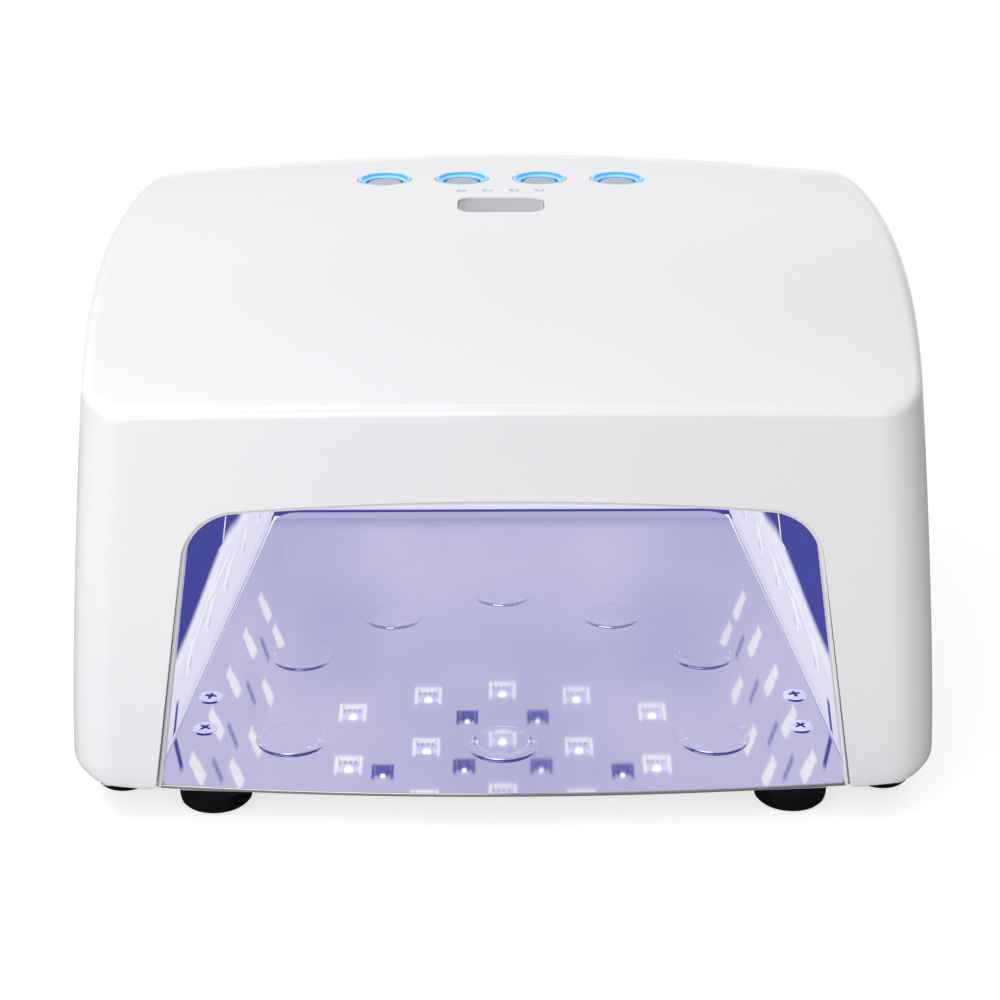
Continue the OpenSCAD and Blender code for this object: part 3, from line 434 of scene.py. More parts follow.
def cut_away(target, shapes):
    """Cuts a Mesh's shapes from a piece and leaves a plain mesh."""
    me = bpy.data.meshes.new("cutter")
    me.from_pydata([mm(v) for v in shapes.verts], [], shapes.faces)
    cutter = placed("cutter", me)
    for o in (target, cutter):
        b = bmesh.new()
        b.from_mesh(o.data)
        bmesh.ops.recalc_face_normals(b, faces=b.faces)
        b.to_mesh(o.data)
        b.free()
    modifier = target.modifiers.new("cut", "BOOLEAN")
    modifier.operation = "DIFFERENCE"
    modifier.solver = "EXACT"
    modifier.object = cutter
    result = plain(target)
    target.modifiers.remove(modifier)
    old = target.data
    target.data = result
    bpy.data.meshes.remove(old)
    bpy.data.objects.remove(cutter)


# ---- geometry trees for what repeats ----

def node(tree, kind, **inputs):
    """A node with its inputs set or linked by name, where _ stands for a space."""
    n = tree.nodes.new(kind)
    for key, value in inputs.items():
        put(tree, n.inputs[key.replace("_", " ")], value)
    return n


def vector_node(tree, operation, a, b):
    n = tree.nodes.new("ShaderNodeVectorMath")
    n.operation = operation
    for socket, value in zip(n.inputs, (a, b)):
        put(tree, socket, value)
    return n.outputs[0]


def between(tree, kind, switch, first, second):
    """The second value where switch is over 0, or else the first."""
    n = tree.nodes.new("GeometryNodeSwitch")
    n.input_type = kind
    for socket, value in zip(n.inputs, (switch, first, second)):
        put(tree, socket, value)
    return n.outputs[0]


def repeat_tree(name, sizes):
    """A new tree with an input for each size (label, type), and its inputs and index."""
    tree = bpy.data.node_groups.new(name, "GeometryNodeTree")
    for label, kind in (("Shape", "Geometry"), *sizes, ("Material", "Material")):
        tree.interface.new_socket(label, in_out="INPUT", socket_type="NodeSocket" + kind)
    tree.interface.new_socket("Copies", in_out="OUTPUT", socket_type="NodeSocketGeometry")
    given = tree.nodes.new("NodeGroupInput").outputs
    return tree, given, tree.nodes.new("GeometryNodeInputIndex").outputs[0]


def end_tree(tree, given, points, **how):
    """Copies the shape to the points, as real mesh with its material."""
    copies = node(tree, "GeometryNodeInstanceOnPoints", Points=points, Instance=given["Shape"], **how)
    real = node(tree, "GeometryNodeRealizeInstances", Geometry=copies.outputs[0])
    paint = node(tree, "GeometryNodeSetMaterial", Geometry=real.outputs[0], Material=given["Material"])
    node(tree, "NodeGroupOutput", Copies=paint.outputs[0])
    return tree


def row_across():
    """A row across the lamp: some may be left out in the middle, and the ends may lie lower."""
    sizes = (("Count", "Int"), ("Pitch", "Float"), ("Left Out", "Int"), ("Middle", "Vector"),
             ("End Drop", "Float"))
    tree, given, index = repeat_tree("row_across", sizes)
    last = math_node(tree, "SUBTRACT", given["Count"], 1.0)
    step = math_node(tree, "MULTIPLY_ADD", last, -0.5, index)
    away = math_node(tree, "ABSOLUTE", step)
    at_end = math_node(tree, "GREATER_THAN", away, 1.0)
    drop = math_node(tree, "MULTIPLY", at_end, given["End Drop"])
    x = math_node(tree, "MULTIPLY", step, given["Pitch"])
    offset = node(tree, "ShaderNodeCombineXYZ", X=x, Z=math_node(tree, "MULTIPLY", drop, -1.0))
    place = vector_node(tree, "ADD", given["Middle"], offset.outputs[0])
    points = node(tree, "GeometryNodePoints", Count=given["Count"], Position=place)
    # a step lies on a whole or a half number, so a quarter tells it from the gap's edge
    gap = math_node(tree, "MULTIPLY_ADD", given["Left Out"], 0.5, -0.25)
    kept = math_node(tree, "GREATER_THAN", away, gap)
    return end_tree(tree, given, points.outputs[0], Selection=kept)


def mirrored_pairs():
    """Two pairs, mirrored across the middle in place and turn: left ones first."""
    sizes = (("First Place", "Vector"), ("Second Place", "Vector"), ("First Turn", "Float"),
             ("Second Turn", "Float"))
    tree, given, index = repeat_tree("mirrored_pairs", sizes)
    second = math_node(tree, "MODULO", index, 2.0)
    side = math_node(tree, "MULTIPLY_ADD", math_node(tree, "GREATER_THAN", index, 1.5), 2.0, -1.0)
    mirror = node(tree, "ShaderNodeCombineXYZ", X=side, Y=1.0, Z=1.0)
    place = between(tree, "VECTOR", second, given["First Place"], given["Second Place"])
    place = vector_node(tree, "MULTIPLY", place, mirror.outputs[0])
    points = node(tree, "GeometryNodePoints", Count=4, Position=place)
    turn = between(tree, "FLOAT", second, given["First Turn"], given["Second Turn"])
    euler = node(tree, "ShaderNodeCombineXYZ", Z=math_node(tree, "MULTIPLY", turn, side))
    rotation = node(tree, "FunctionNodeEulerToRotation", Euler=euler.outputs[0])
    return end_tree(tree, given, points.outputs[0], Rotation=rotation.outputs[0])


def repeated(shape, tree, material=None, **sizes):
    """A plain mesh of a Mesh drawn round the origin, copied by a tree with its sizes in metres."""
    me = bpy.data.meshes.new("shape")
    me.from_pydata([[c / 1000 for c in v] for v in shape.verts], [], shape.faces)
    o = placed("shape", me)
    modifier = o.modifiers.new(tree.name, "NODES")
    modifier.node_group = tree
    if material:
        sizes["Material"] = material
    sockets = {socket.name.replace(" ", "_"): socket.identifier for socket in tree.interface.items_tree}
    for label, value in sizes.items():
        modifier[sockets[label]] = value
    result = plain(o)
    o.modifiers.remove(modifier)
    bpy.data.objects.remove(o)
    bpy.data.meshes.remove(me)
    return result


ROW, PAIRS = row_across(), mirrored_pairs()


# ---- housing form, as in the part's source ----

def outline():
    """Points [x, y, nx, ny] round the plan, from the middle of the front to the right."""
    front_turn = atan(2 * SIDE_BULGE / (WIDEST_Y - FRONT_R))
    back_turn = atan(2 * SIDE_BULGE / (BODY_D - BACK_BOW - BACK_R - WIDEST_Y))
    front_cx = BODY_W / 2 - SIDE_BULGE - FRONT_R * cos(front_turn)
    back_cx = BODY_W / 2 - SIDE_BULGE - BACK_R * cos(back_turn)
    bow_turn = atan(2 * BACK_BOW / back_cx)
    back_cy = BODY_D - BACK_BOW - BACK_R * cos(bow_turn)
    back_x = back_cx + BACK_R * sin(bow_turn)
    side_y0 = FRONT_R * (1 - sin(front_turn))
    side_y1 = back_cy + BACK_R * sin(back_turn)

    def corner(cx, cy, r, a0, a1, n, first):
        t = np.linspace(a0, a1, n + 1)[first:]
        return np.stack([cx + r * np.cos(t), cy + r * np.sin(t), np.cos(t), np.sin(t)], 1)

    def side(y0, y1, end, n):
        y = np.linspace(y0, y1, n + 1)[1:]
        t = (WIDEST_Y - y) / (WIDEST_Y - end)
        slope = 2 * SIDE_BULGE * t / (WIDEST_Y - end)
        k = np.sqrt(1 + slope * slope)
        return np.stack([BODY_W / 2 - SIDE_BULGE * t * t, y, 1 / k, -slope / k], 1)

    x = np.linspace(0, front_cx, 41)[:-1]
    front = np.stack([x, 0 * x, 0 * x, 0 * x - 1], 1)
    x = np.linspace(back_x, 0, 31)[1:]
    slope = 2 * BACK_BOW * x / back_x ** 2
    k = np.sqrt(1 + slope * slope)
    back = np.stack([x, BODY_D - BACK_BOW * (x / back_x) ** 2, slope / k, 1 / k], 1)
    right = np.concatenate([
        front,
        corner(front_cx, FRONT_R, FRONT_R, -pi / 2, -front_turn, 16, 0),
        side(side_y0, WIDEST_Y, side_y0, 26),
        side(WIDEST_Y, side_y1, side_y1, 22),
        corner(back_cx, back_cy, BACK_R, back_turn, pi / 2 - bow_turn, 26, 1),
        back])
    left = right[1:-1][::-1] * np.array([-1, 1, -1, 1])
    return np.concatenate([right, left])


OUT = outline()


def inset(sides, front, back, skin):
    """The plan outline, moved in by its own distance at the sides, the front and the back."""
    x, y, nx, ny = OUT.T
    d = sides * nx * nx + np.where(ny < 0, front, back) * ny * ny + skin
    return x - nx * d, y - ny * d


def drafted(q, skin):
    """The plan outline leant in by its whole draft at q = 1, and skin inside that."""
    x, y, nx, ny = OUT.T
    draft = SIDE_DRAFT + (CORNER_DRAFT - SIDE_DRAFT) * (1 - np.clip(y / DRAFT_BLEND, 0, 1)) ** 2
    d = np.where(ny < 0, FRONT_DRAFT, SIDE_DRAFT) * q * ny * ny + skin
    return x * (1 - draft * q / (BODY_W / 2)) - nx * skin, y - ny * d


def top_z(x, y):
    """Height of the domed top: a rise from the crease, and a crown that grows to the back."""
    u = (y - FRONT_DRAFT) / (TOP_LINE_Y - FRONT_DRAFT)
    middle = np.where(u < 1, TOP_RISE * (1 - (1 - u) ** 3), TOP_RISE - ((u - 1) * TOP_FALL) ** 2)
    growth = (np.maximum(y, 0) / (BODY_D - BACK_R)) ** CROWN_GROWTH
    crown = FRONT_CROWN + (BACK_CROWN - FRONT_CROWN) * growth
    return CREASE_Z + middle - crown * (np.abs(x) / (BODY_W / 2 - SIDE_DRAFT)) ** CROWN_SECTION


def on_top(x, y):
    """The place (x, y, z) on the domed top."""
    return x, y, float(top_z(np.array(float(x)), np.array(float(y))))


BUTTONS = [on_top((i - 1.5) * BUTTON_PITCH, BUTTON_Y) for i in range(4)]
MARKS = [on_top((i - 1.5) * MARK_PITCH, MARK_Y) for i in range(4)]


def row_sizes(places, pitch):
    """The row tree's sizes for four places on the top."""
    _, y, z = places[1]
    return {"Count": 4, "Pitch": pitch / 1000, "Middle": mm((0, y, z)),
            "End_Drop": (z - places[0][2]) / 1000}


def housing_rings(skin, tuck_n, wall_n, edge_n, top_n):
    """Rings from the lower rim over the wall and the crease to near the top's tip."""
    rings = []
    for a in np.linspace(0, pi / 2, tuck_n):
        k = 1 - sin(a)
        x, y = inset(TUCK * k, k, TUCK * k, skin)
        rings.append((x, y, 0 * x + RIM_Z + TUCK_H * (1 - cos(a))))
    growth = np.clip((OUT[:, 1] - CREASE_END_Y) / EDGE_BLEND, 0, 1)
    r = np.maximum(CREASE_R + (EDGE_R - CREASE_R) * growth - skin, LEAST_R)
    wall_z = RIM_Z + TUCK_H
    wall_top = top_z(*drafted(1, skin)) - skin - r
    for q in np.linspace(0, 1, wall_n + 1)[1:]:
        x, y = drafted(q ** LEAN_POWER, skin)
        rings.append((x, y, wall_z + (wall_top - wall_z) * q))
    for a in np.linspace(0, pi / 2, edge_n + 1)[1:]:
        x, y = drafted(1, skin + r * (1 - cos(a)))
        rings.append((x, y, top_z(x, y) - skin - r * (1 - sin(a))))
    edge_x, edge_y, _ = rings[-1]
    for s in ((i / top_n) ** 1.35 for i in range(1, top_n)):
        x, y = edge_x * (1 - s), edge_y + (TIP_Y - edge_y) * s
        rings.append((x, y, top_z(x, y) - skin))
    lifted = []
    for x, y, z in rings:
        corner = np.clip((np.abs(x) - LIFT_X) / LIFT_W, 0, 1) * np.clip(1 - y / LIFT_Y, 0, 1)
        lifted.append((x, y, z + LIFT * corner * np.clip(1 - (z - RIM_Z) / LIFT_H, 0, 1)))
    return lifted


def dome(rings, skin, inside):
    """Vertices and faces through the rings, closed at the top's tip."""
    n = len(OUT)
    last = (len(rings) - 1) * n
    tip = (0.0, TIP_Y, on_top(0.0, TIP_Y)[2] - skin)
    verts = np.concatenate([np.stack(ring, 1) for ring in rings] + [[tip]])
    faces = [[low + i, low + (i + 1) % n, low + n + (i + 1) % n, low + n + i]
             for low in range(0, last, n) for i in range(n)]
    faces += [[last + i, last + (i + 1) % n, last + n] for i in range(n)]
    return verts, [f[::-1] for f in faces] if inside else faces


def housing_shell():
    """The moulded wall: an outer and an inner dome, joined at the lower rim."""
    outer, outer_faces = dome(housing_rings(0.0, 9, 30, 12, 30), 0.0, False)
    inner, inner_faces = dome(housing_rings(WALL, 5, 10, 6, 12), WALL, True)
    n, base = len(OUT), len(outer)
    rim = [[i, base + i, base + (i + 1) % n, (i + 1) % n] for i in range(n)]
    verts = [mm(v) for v in np.concatenate([outer, inner])]
    return verts, outer_faces + [[i + base for i in f] for f in inner_faces] + rim


def arch_points():
    """Front view of the opening, from the lower right corner over the top to the lower left one."""
    foot, lean = RIM_Z - 2, tan(radians(LEAN))
    cz = TRAY_Z + OPENING_H - OPENING_CROWN - OPENING_R
    cx = OPENING_W / 2 - lean * (cz - TRAY_Z) - OPENING_R / cos(radians(LEAN))
    r = OPENING_R - OPENING_GAP
    rim_x = OPENING_W / 2 - lean * (RIM_Z - TRAY_Z) - OPENING_GAP / cos(radians(LEAN)) + OPENING_FLARE
    points = [(rim_x, foot)] + arc(rim_x, RIM_Z + OPENING_FLARE, OPENING_FLARE, 270, 180, 4)
    points += arc(cx, cz, r, LEAN, 90, 24)
    for x in (cx * (1 - k / 20) for k in range(1, 20)):
        points.append((x, cz + r + OPENING_CROWN * (1 - (x / cx) ** 2)))
    return points + [(0, cz + r + OPENING_CROWN)] + [(-x, z) for x, z in points[::-1]]


# ---- materials ----

# DEEP_BLUE to GAP_LIGHT are tones of the chamber's painted light, for parts that are no lamps
DEEP_BLUE, DIM_BLUE, LIT_WHITE = (0.05, 0.06, 0.31), (0.10, 0.11, 0.40), (0.96, 0.96, 1.0)
LAVENDER = (0.535, 0.51, 0.765), (0.565, 0.54, 0.79)
WINDOW_LIGHT, GAP_LIGHT = (0.86, 0.855, 0.92), (0.66, 0.65, 0.83)
OFF_WHITE = (0.70, 0.70, 0.72), (0.77, 0.77, 0.79)
DARK_SHEET = (0.03, 0.03, 0.04), (0.04, 0.04, 0.05)
NO_LIGHT = (0.0, 0.0, 0.0)


def moulded(name, low, high, rough, grain, depth=0.00002, **values):
    """Moulded plastic or metal: a slow change of tone, a fine grain and a change of gloss."""
    g = Graph(name, Coat_Roughness=0.04, **values)
    g.color(g.mix(g.soft(14.0, 3.0), low, high))
    g.rough(g.smooth(g.noise(42.0, 3.0), 0.25, 0.75, rough * 0.85, rough * 1.15))
    g.bump(g.noise(grain), depth)
    return g.mat


def glowing(name, low, high, strength):
    """Plastic or a board that gives off its own tone: a lamp's light, or light painted on a board."""
    g = Graph(name, Coat_Weight=0.3, Coat_Roughness=0.05)
    tone = g.mix(g.soft(80.0), low, high)
    g.color(tone)
    g.rough(g.soft(160.0, 2.0, 0.27, 0.33))
    g.emit(tone, strength)
    return g.mat


def housing_material():
    g = Graph("white_gloss_housing", IOR=1.49, Coat_Weight=0.35, Coat_Roughness=0.03)
    g.color(g.mix(g.soft(9.0), (0.835, 0.835, 0.855), (0.86, 0.86, 0.875)))
    g.rough(g.soft(30.0, 3.0, 0.17, 0.24))
    g.bump(g.noise(420.0, 1.0), 0.000012, 0.35, edge_radius=0.0005)
    return g.mat


def base_material():
    """Off-white plastic; in the gap round the tray its tone is painted dark, and the chamber's light is
    painted on as a glow over a painted deep blue line.
    """
    g = Graph("off_white_base", Roughness=0.45)
    x, y, z = g.math("ABSOLUTE", g.axis("x")), g.axis("y"), g.axis("z")
    beside = g.math("LESS_THAN", g.math("MULTIPLY_ADD", y, tan(radians(TAPER)), x), FLOOR_W / 2 + 2)
    in_gap = g.product(beside, g.math("LESS_THAN", y, CHAMBER_D + 1.9), g.math("GREATER_THAN", z, 6.0))
    line = g.mix(g.smooth(y, 192.0, 198.0), (0.22, 0.21, 0.47), (0.05, 0.05, 0.29))
    # behind the tray the line lies 1.75 mm higher
    step_z = g.math("MULTIPLY_ADD", g.math("GREATER_THAN", y, 194.0), -1.75, z)
    glow = g.mix(g.smooth(step_z, 7.5, 7.7), line, GAP_LIGHT)
    # painted shade and painted light in the gap: the off-white turns dark and glows with the chamber's
    # light
    g.color(g.mix(in_gap, g.mix(g.soft(14.0, 3.0), *OFF_WHITE), DARK_SHEET[0]))
    g.emit(g.mix(in_gap, NO_LIGHT, glow))
    g.bump(g.noise(1300.0), 0.00002)
    return g.mat


def lamp_offsets(g, shift=0.0):
    """Offsets in mm from the nearest bright lamp of the ceiling, across and along the chamber."""
    x, y = g.axis("x"), g.axis("y")
    column = g.math("ROUND", g.math("DIVIDE", x, LAMP_PITCH))
    across = g.math("ABSOLUTE", g.math("MULTIPLY_ADD", column, -LAMP_PITCH, x))
    level = g.math("MULTIPLY_ADD", g.math("MULTIPLY", column, column), ROW_SAG / 4, y)
    along = g.math("SUBTRACT", level, LAMP_ROWS[0] + shift)
    for low, high in zip(LAMP_ROWS, LAMP_ROWS[1:]):
        past = g.math("GREATER_THAN", level, (low + high) / 2)
        along = g.math("SUBTRACT", along, g.math("MULTIPLY", past, high - low))
    return across, along


def dim_offsets(g, shift=0.0):
    """The same from each unlit lamp."""
    x, y = g.math("ABSOLUTE", g.axis("x")), g.axis("y")
    return [(g.apart(x, spot_x), g.math("SUBTRACT", y, spot_y + shift)) for spot_x, spot_y in DIM_SPOTS]


def rim_mask(g, offsets, inner, outer):
    """The painted rim of light round a window: three sides of a square, open to the front."""
    across, along = offsets
    far = g.math("ABSOLUTE", along)
    block = g.product(*(g.fade(d, outer - 0.15, outer + 0.15) for d in (across, far)))
    hole = g.product(*(g.fade(d, inner - 0.1, inner + 0.1) for d in (across, along)))
    return g.product(block, g.math("SUBTRACT", 1.0, hole))


def wall_mask(g, y0, height, half_y, half_z, slant=0.0, soft=0.8):
    """A block on a side wall, y0 mm in and a height over the tray, that leans back by slant."""
    dz = g.math("SUBTRACT", g.axis("z"), TRAY_Z + height)
    dy = g.math("ABSOLUTE", g.math("MULTIPLY_ADD", dz, -slant, g.math("SUBTRACT", g.axis("y"), y0)))
    return g.product(g.fade(dy, half_y - soft, half_y + soft),
                     g.fade(g.math("ABSOLUTE", dz), half_z - soft, half_z + soft))


def window_mask(g):
    """The lit windows of a side wall, painted as the tray reflects them."""
    return g.most(*(wall_mask(g, y0, height, 3.5, 6.1, 0.55) for y0, height in SIDE_WINDOWS))


def tray_material():
    """Mirror sheet with a painted bluish reflection in soft patches, and lines on its slopes and edges.
    """
    g = Graph("mirror_tray", Metallic=1.0)
    haze = g.noise(22.0, 3.0)
    x, y, z = g.math("ABSOLUTE", g.axis("x")), g.axis("y"), g.axis("z")
    # painted reflection: the mirror's tint is bluer in soft patches by place
    far = g.product(g.smooth(x, 34, 66), g.smooth(y, 70, 176))
    mid = g.product(g.smooth(x, 30, 48), g.fade(x, 54, 78), g.smooth(y, 40, 82), g.fade(y, 110, 150))
    near = g.product(g.fade(x, 16, 54), g.fade(y, 98, 152))
    blue = g.math("MULTIPLY_ADD", far, 0.5, g.math("MULTIPLY_ADD", mid, 0.55, g.product(near, 0.42)))
    blue = g.math("ADD", blue, g.smooth(haze, 0.35, 0.75, -0.06, 0.08), clamp=True)
    tone = g.mix(blue, (0.91, 0.91, 0.90), (0.69, 0.71, 0.80))
    # painted reflection, darker towards the back edge
    tone = g.mix(g.smooth(y, 180, 191), tone, (0.68, 0.69, 0.80))
    tone = g.mix(g.smooth(y, 188, 193), tone, (0.52, 0.53, 0.68))
    # slopes that face the front carry a painted deep blue line of shade, and the plate's own edge a
    # warm grey one at the front and painted violet light at the sides and back
    ahead = g.math("MULTIPLY", g.normal("y"), -1.0)
    slope_z = g.product(g.smooth(z, TRAY_Z, TRAY_Z + 0.05), g.fade(z, TRAY_Z + 0.35, TRAY_Z + 0.6))
    low = g.product(slope_z, g.smooth(y, 50, 140, 1.0, 0.4), g.smooth(ahead, 0.35, 0.7))
    edge = g.product(g.fade(g.normal("z"), 0.85, 0.985), g.fade(z, TRAY_Z - 0.01, TRAY_Z + 0.02))
    edge_tone = g.mix(g.smooth(ahead, 0.1, 0.4), (0.12, 0.11, 0.34), (0.42, 0.40, 0.37))
    g.color(g.mix(edge, g.mix(low, tone, (0.02, 0.02, 0.10)), edge_tone))
    g.emit(g.mix(low, NO_LIGHT, (0.035, 0.03, 0.24)))
    g.rough(g.smooth(haze, 0.3, 0.7, 0.035, 0.06))
    g.bump(haze, 0.00002, 0.3)
    return g.mat


def lit_sheet(name, dark, **values):
    """A sheet whose own glow paints the chamber's light, with a random haze in its dark tone and in its
    painted lavender glow.
    """
    g = Graph(name, Specular_IOR_Level=0.0, **values)
    haze = g.soft(22.0, 3.0)
    g.color(g.mix(haze, *dark))
    return g, haze, g.mix(haze, *LAVENDER)


def chamber_sheet(name, dark):
    g, haze, lavender = lit_sheet(name, dark)
    g.rough(g.math("MULTIPLY_ADD", haze, 0.08, 0.12))
    return g, lavender


def ceiling_material():
    """Dark sheet with a painted lavender glow, a painted white rim of light round each lit window, and
    a painted blue one round the unlit ones.
    """
    g, lavender = chamber_sheet("mirror_ceiling", DARK_SHEET)
    inside = g.math("LESS_THAN", g.math("ABSOLUTE", g.axis("x")), LAMP_PITCH * 2 + 6)
    lit = g.product(rim_mask(g, lamp_offsets(g), 3.6, 4.75), inside)
    dark = g.most(*(rim_mask(g, offsets, 2.7, 3.75) for offsets in dim_offsets(g)))
    g.emit(g.mix(dark, g.mix(lit, lavender, LIT_WHITE), DIM_BLUE))
    return g.mat


def back_material():
    g, lavender = chamber_sheet("mirror_back", DARK_SHEET)
    # painted glow of the chamber's light: paler low down, lavender above
    g.emit(g.mix(g.smooth(g.axis("z"), 12.2, 13.8), (0.76, 0.75, 0.89), lavender))
    return g.mat


def side_material():
    """Side wall, painted with the chamber's light: seen at a grazing angle it shows a pale painted
    reflection below and a deep blue painted one above a soft, rising line.
    """
    g, lavender = chamber_sheet("mirror_side", ((0.015, 0.015, 0.02), (0.02, 0.02, 0.028)))
    y, z = g.axis("y"), g.math("SUBTRACT", g.axis("z"), TRAY_Z)
    grazing = g.grazing()
    line = g.math("SUBTRACT", g.smooth(y, 25, 90, 31.0, 39.2), g.smooth(y, 88, 115, 0.0, 4.0))
    over = g.math("SUBTRACT", z, line)
    # painted pale reflection, with a brighter painted highlight below the line
    pale = g.mix(g.smooth(z, 0.5, 7.0), GAP_LIGHT, (0.73, 0.72, 0.87))
    pale = g.mix(g.smooth(over, -14.0, -5.0, 0.0, 0.5), pale, (0.86, 0.86, 0.94))
    # painted streaks of reflected light
    for y0, z0, slope, length in STREAKS:
        dy = g.math("SUBTRACT", y, y0)
        dz = g.apart(z, g.math("MULTIPLY_ADD", dy, slope, z0))
        streak = g.product(g.fade(dz, 0.2, 0.8), g.smooth(dy, 0, 6), g.fade(dy, length - 8, length))
        pale = g.mix(streak, pale, (1.0, 1.0, 1.0))
    # seen from above, in the tray: painted white light of the windows, and painted deep blue marks of
    # the lamps behind the sheet
    marks = g.most(*(wall_mask(g, y0, height, 1.8, 5.2, 0.4, 1.2) for y0, height in SIDE_MARKS))
    seen = g.mix(window_mask(g), lavender, WINDOW_LIGHT)
    seen = g.mix(g.product(marks, 0.7), seen, (0.15, 0.15, 0.46))
    # painted deep blue reflection above the line, at a grazing angle
    dark = g.product(g.smooth(over, -4.0, 2.0), grazing)
    tone = g.mix(dark, g.mix(grazing, seen, pale), DEEP_BLUE)
    # a narrow slit close to the opening, painted as deep blue shade
    slit = g.product(g.fade(g.apart(y, 32.5), 1.0, 2.6), g.fade(z, 9.5, 12.5))
    g.emit(g.mix(slit, tone, (0.07, 0.07, 0.34)))
    return g.mat


def side_lamp_material():
    """Side boards and lamps: the wall's painted glow, with painted deep blue in the upper windows at a
    grazing angle.
    """
    dark = (0.02, 0.02, 0.025), (0.025, 0.025, 0.03)
    g, _, lavender = lit_sheet("lit_side_lens", dark, Roughness=0.5)
    upper = g.product(g.grazing(), g.smooth(g.axis("z"), 41.0, 46.0))
    g.emit(g.mix(upper, g.mix(window_mask(g), lavender, WINDOW_LIGHT), DEEP_BLUE))
    return g.mat


def lamp_graph(name):
    """A graph for the ceiling's cups and lamps, and its lavender glow: the lamps' own light, and
    painted light on the cups.
    """
    g = Graph(name, Roughness=0.4)
    haze = g.soft(300.0)
    g.color(g.mix(haze, (0.05, 0.05, 0.06), (0.06, 0.06, 0.07)))
    return g, g.mix(haze, (0.58, 0.56, 0.82), (0.64, 0.62, 0.86))


def lamp_material():
    """Lamps of the ceiling: lavender or blue by place, each with a bright point; the unlit ones glow a
    painted dim blue.
    """
    g, lavender = lamp_graph("lit_lens")
    bright, dims = lamp_offsets(g, 0.45), [g.length(*offsets) for offsets in dim_offsets(g, 0.45)]
    unlit = g.most(*(g.fade(r, 2.8, 2.9) for r in dims))
    points = g.most(g.fade(g.length(*bright), 0.9, 1.9), *(g.fade(r, 0.5, 1.3) for r in dims))
    g.emit(g.mix(points, g.mix(unlit, lavender, DIM_BLUE), (2.2, 2.2, 2.3)))
    return g.mat


def cup_material(name, lit):
    """Cups of the ceiling, by height square to the reflector: on the lit ones a painted white rim of
    light and a painted dashed dark line over it, on the dim ones a painted blue glow.
    """
    g, lavender = lamp_graph(name)
    y, z = g.math("SUBTRACT", g.axis("y"), CEILING_Y0), g.math("SUBTRACT", g.axis("z"), CEILING_Z0)
    height = g.product(g.math("MULTIPLY_ADD", y, tan(radians(SLOPE)), z), cos(radians(SLOPE)))
    if lit:
        dashes = g.smooth(g.math("SINE", g.product(g.axis("x"), 3.6)), -0.6, 0.2)
        line = g.product(g.smooth(height, 1.3, 1.5), g.fade(height, 2.0, 2.3), dashes)
        upper = g.mix(line, lavender, (0.10, 0.09, 0.30))
        g.emit(g.mix(g.smooth(height, 1.1, 1.4), LIT_WHITE, upper))
    else:
        g.emit(g.mix(g.smooth(height, 2.0, 3.2), DIM_BLUE, (0.06, 0.065, 0.26)))
    return g.mat


def from_row(g, pitch, y0):
    """Distance in mm from the nearest axis of a row of four, at a pitch."""
    across = g.math("SUBTRACT", g.apart(g.math("ABSOLUTE", g.axis("x")), pitch), pitch / 2)
    return g.length(across, g.math("SUBTRACT", g.axis("y"), y0))


def ring_material():
    """Translucent blue that glows, in bands: painted dark shade at the cap, a painted highlight on the
    slope and pale at the rim.
    """
    g = Graph("lit_blue_ring", IOR=1.46, Specular_IOR_Level=0.25, Coat_Weight=0.15, Coat_Roughness=0.1)
    r = from_row(g, BUTTON_PITCH, BUTTON_Y)
    haze = g.soft(300.0)
    tone = g.mix(haze, (0.008, 0.07, 0.27), (0.012, 0.09, 0.32))
    for start, end, band in ((5.9, 6.25, (0.22, 0.53, 0.82)), (6.5, 6.9, (0.045, 0.30, 0.68)),
                             (7.2, 7.6, (0.16, 0.42, 0.76)), (7.9, 8.2, (0.24, 0.36, 0.56))):
        tone = g.mix(g.smooth(r, start, end), tone, band)
    g.color(tone)
    g.emit(tone, 0.6)
    g.rough(g.math("MULTIPLY_ADD", haze, 0.08, 0.12))
    return g.mat


def cap_material():
    """Satin silver-grey, with a painted deep blue line of shade round the edge."""
    g = Graph("satin_grey_cap", Roughness=0.34, Specular_IOR_Level=0.35)
    tone = g.mix(g.soft(120.0, 3.0), (0.45, 0.435, 0.47), (0.52, 0.505, 0.54))
    g.color(g.mix(g.smooth(from_row(g, BUTTON_PITCH, BUTTON_Y), 4.9, 5.2), tone, (0.01, 0.07, 0.25)))
    g.bump(g.noise(1800.0), 0.00002)
    return g.mat


def mark_material():
    """Small indicator lights: a pale middle and a blue outline."""
    g = Graph("lit_mark", Roughness=0.3)
    rim = g.smooth(from_row(g, MARK_PITCH, MARK_Y), 0.8, 1.05)
    tone = g.mix(rim, (0.62, 0.64, 0.68), (0.12, 0.38, 0.66))
    tone = g.mix(g.smooth(g.noise(500.0), 0.35, 0.65, 0.0, 0.35), tone, (0.30, 0.45, 0.58))
    g.color(tone)
    g.emit(tone, 0.25)
    return g.mat


def window_material():
    """Smoked grey, paler along the edge and darker at the left end."""
    g = Graph("smoked_window", IOR=1.47, Specular_IOR_Level=0.3)
    x, dy = g.axis("x"), g.apart(g.axis("y"), DISPLAY_Y)
    edge = g.most(g.smooth(g.math("ABSOLUTE", x), 11.2, 12.6), g.smooth(dy, 7.0, 8.3))
    tone = g.mix(g.soft(60.0, 3.0, stretch=(1, 0.4, 1)), (0.385, 0.37, 0.415), (0.43, 0.415, 0.46))
    tone = g.mix(g.smooth(x, -12.6, -9.5), (0.24, 0.23, 0.26), tone)
    g.color(g.mix(g.product(edge, 0.45), tone, (0.62, 0.61, 0.64)))
    g.rough(g.soft(200.0, 2.0, 0.16, 0.24))
    return g.mat


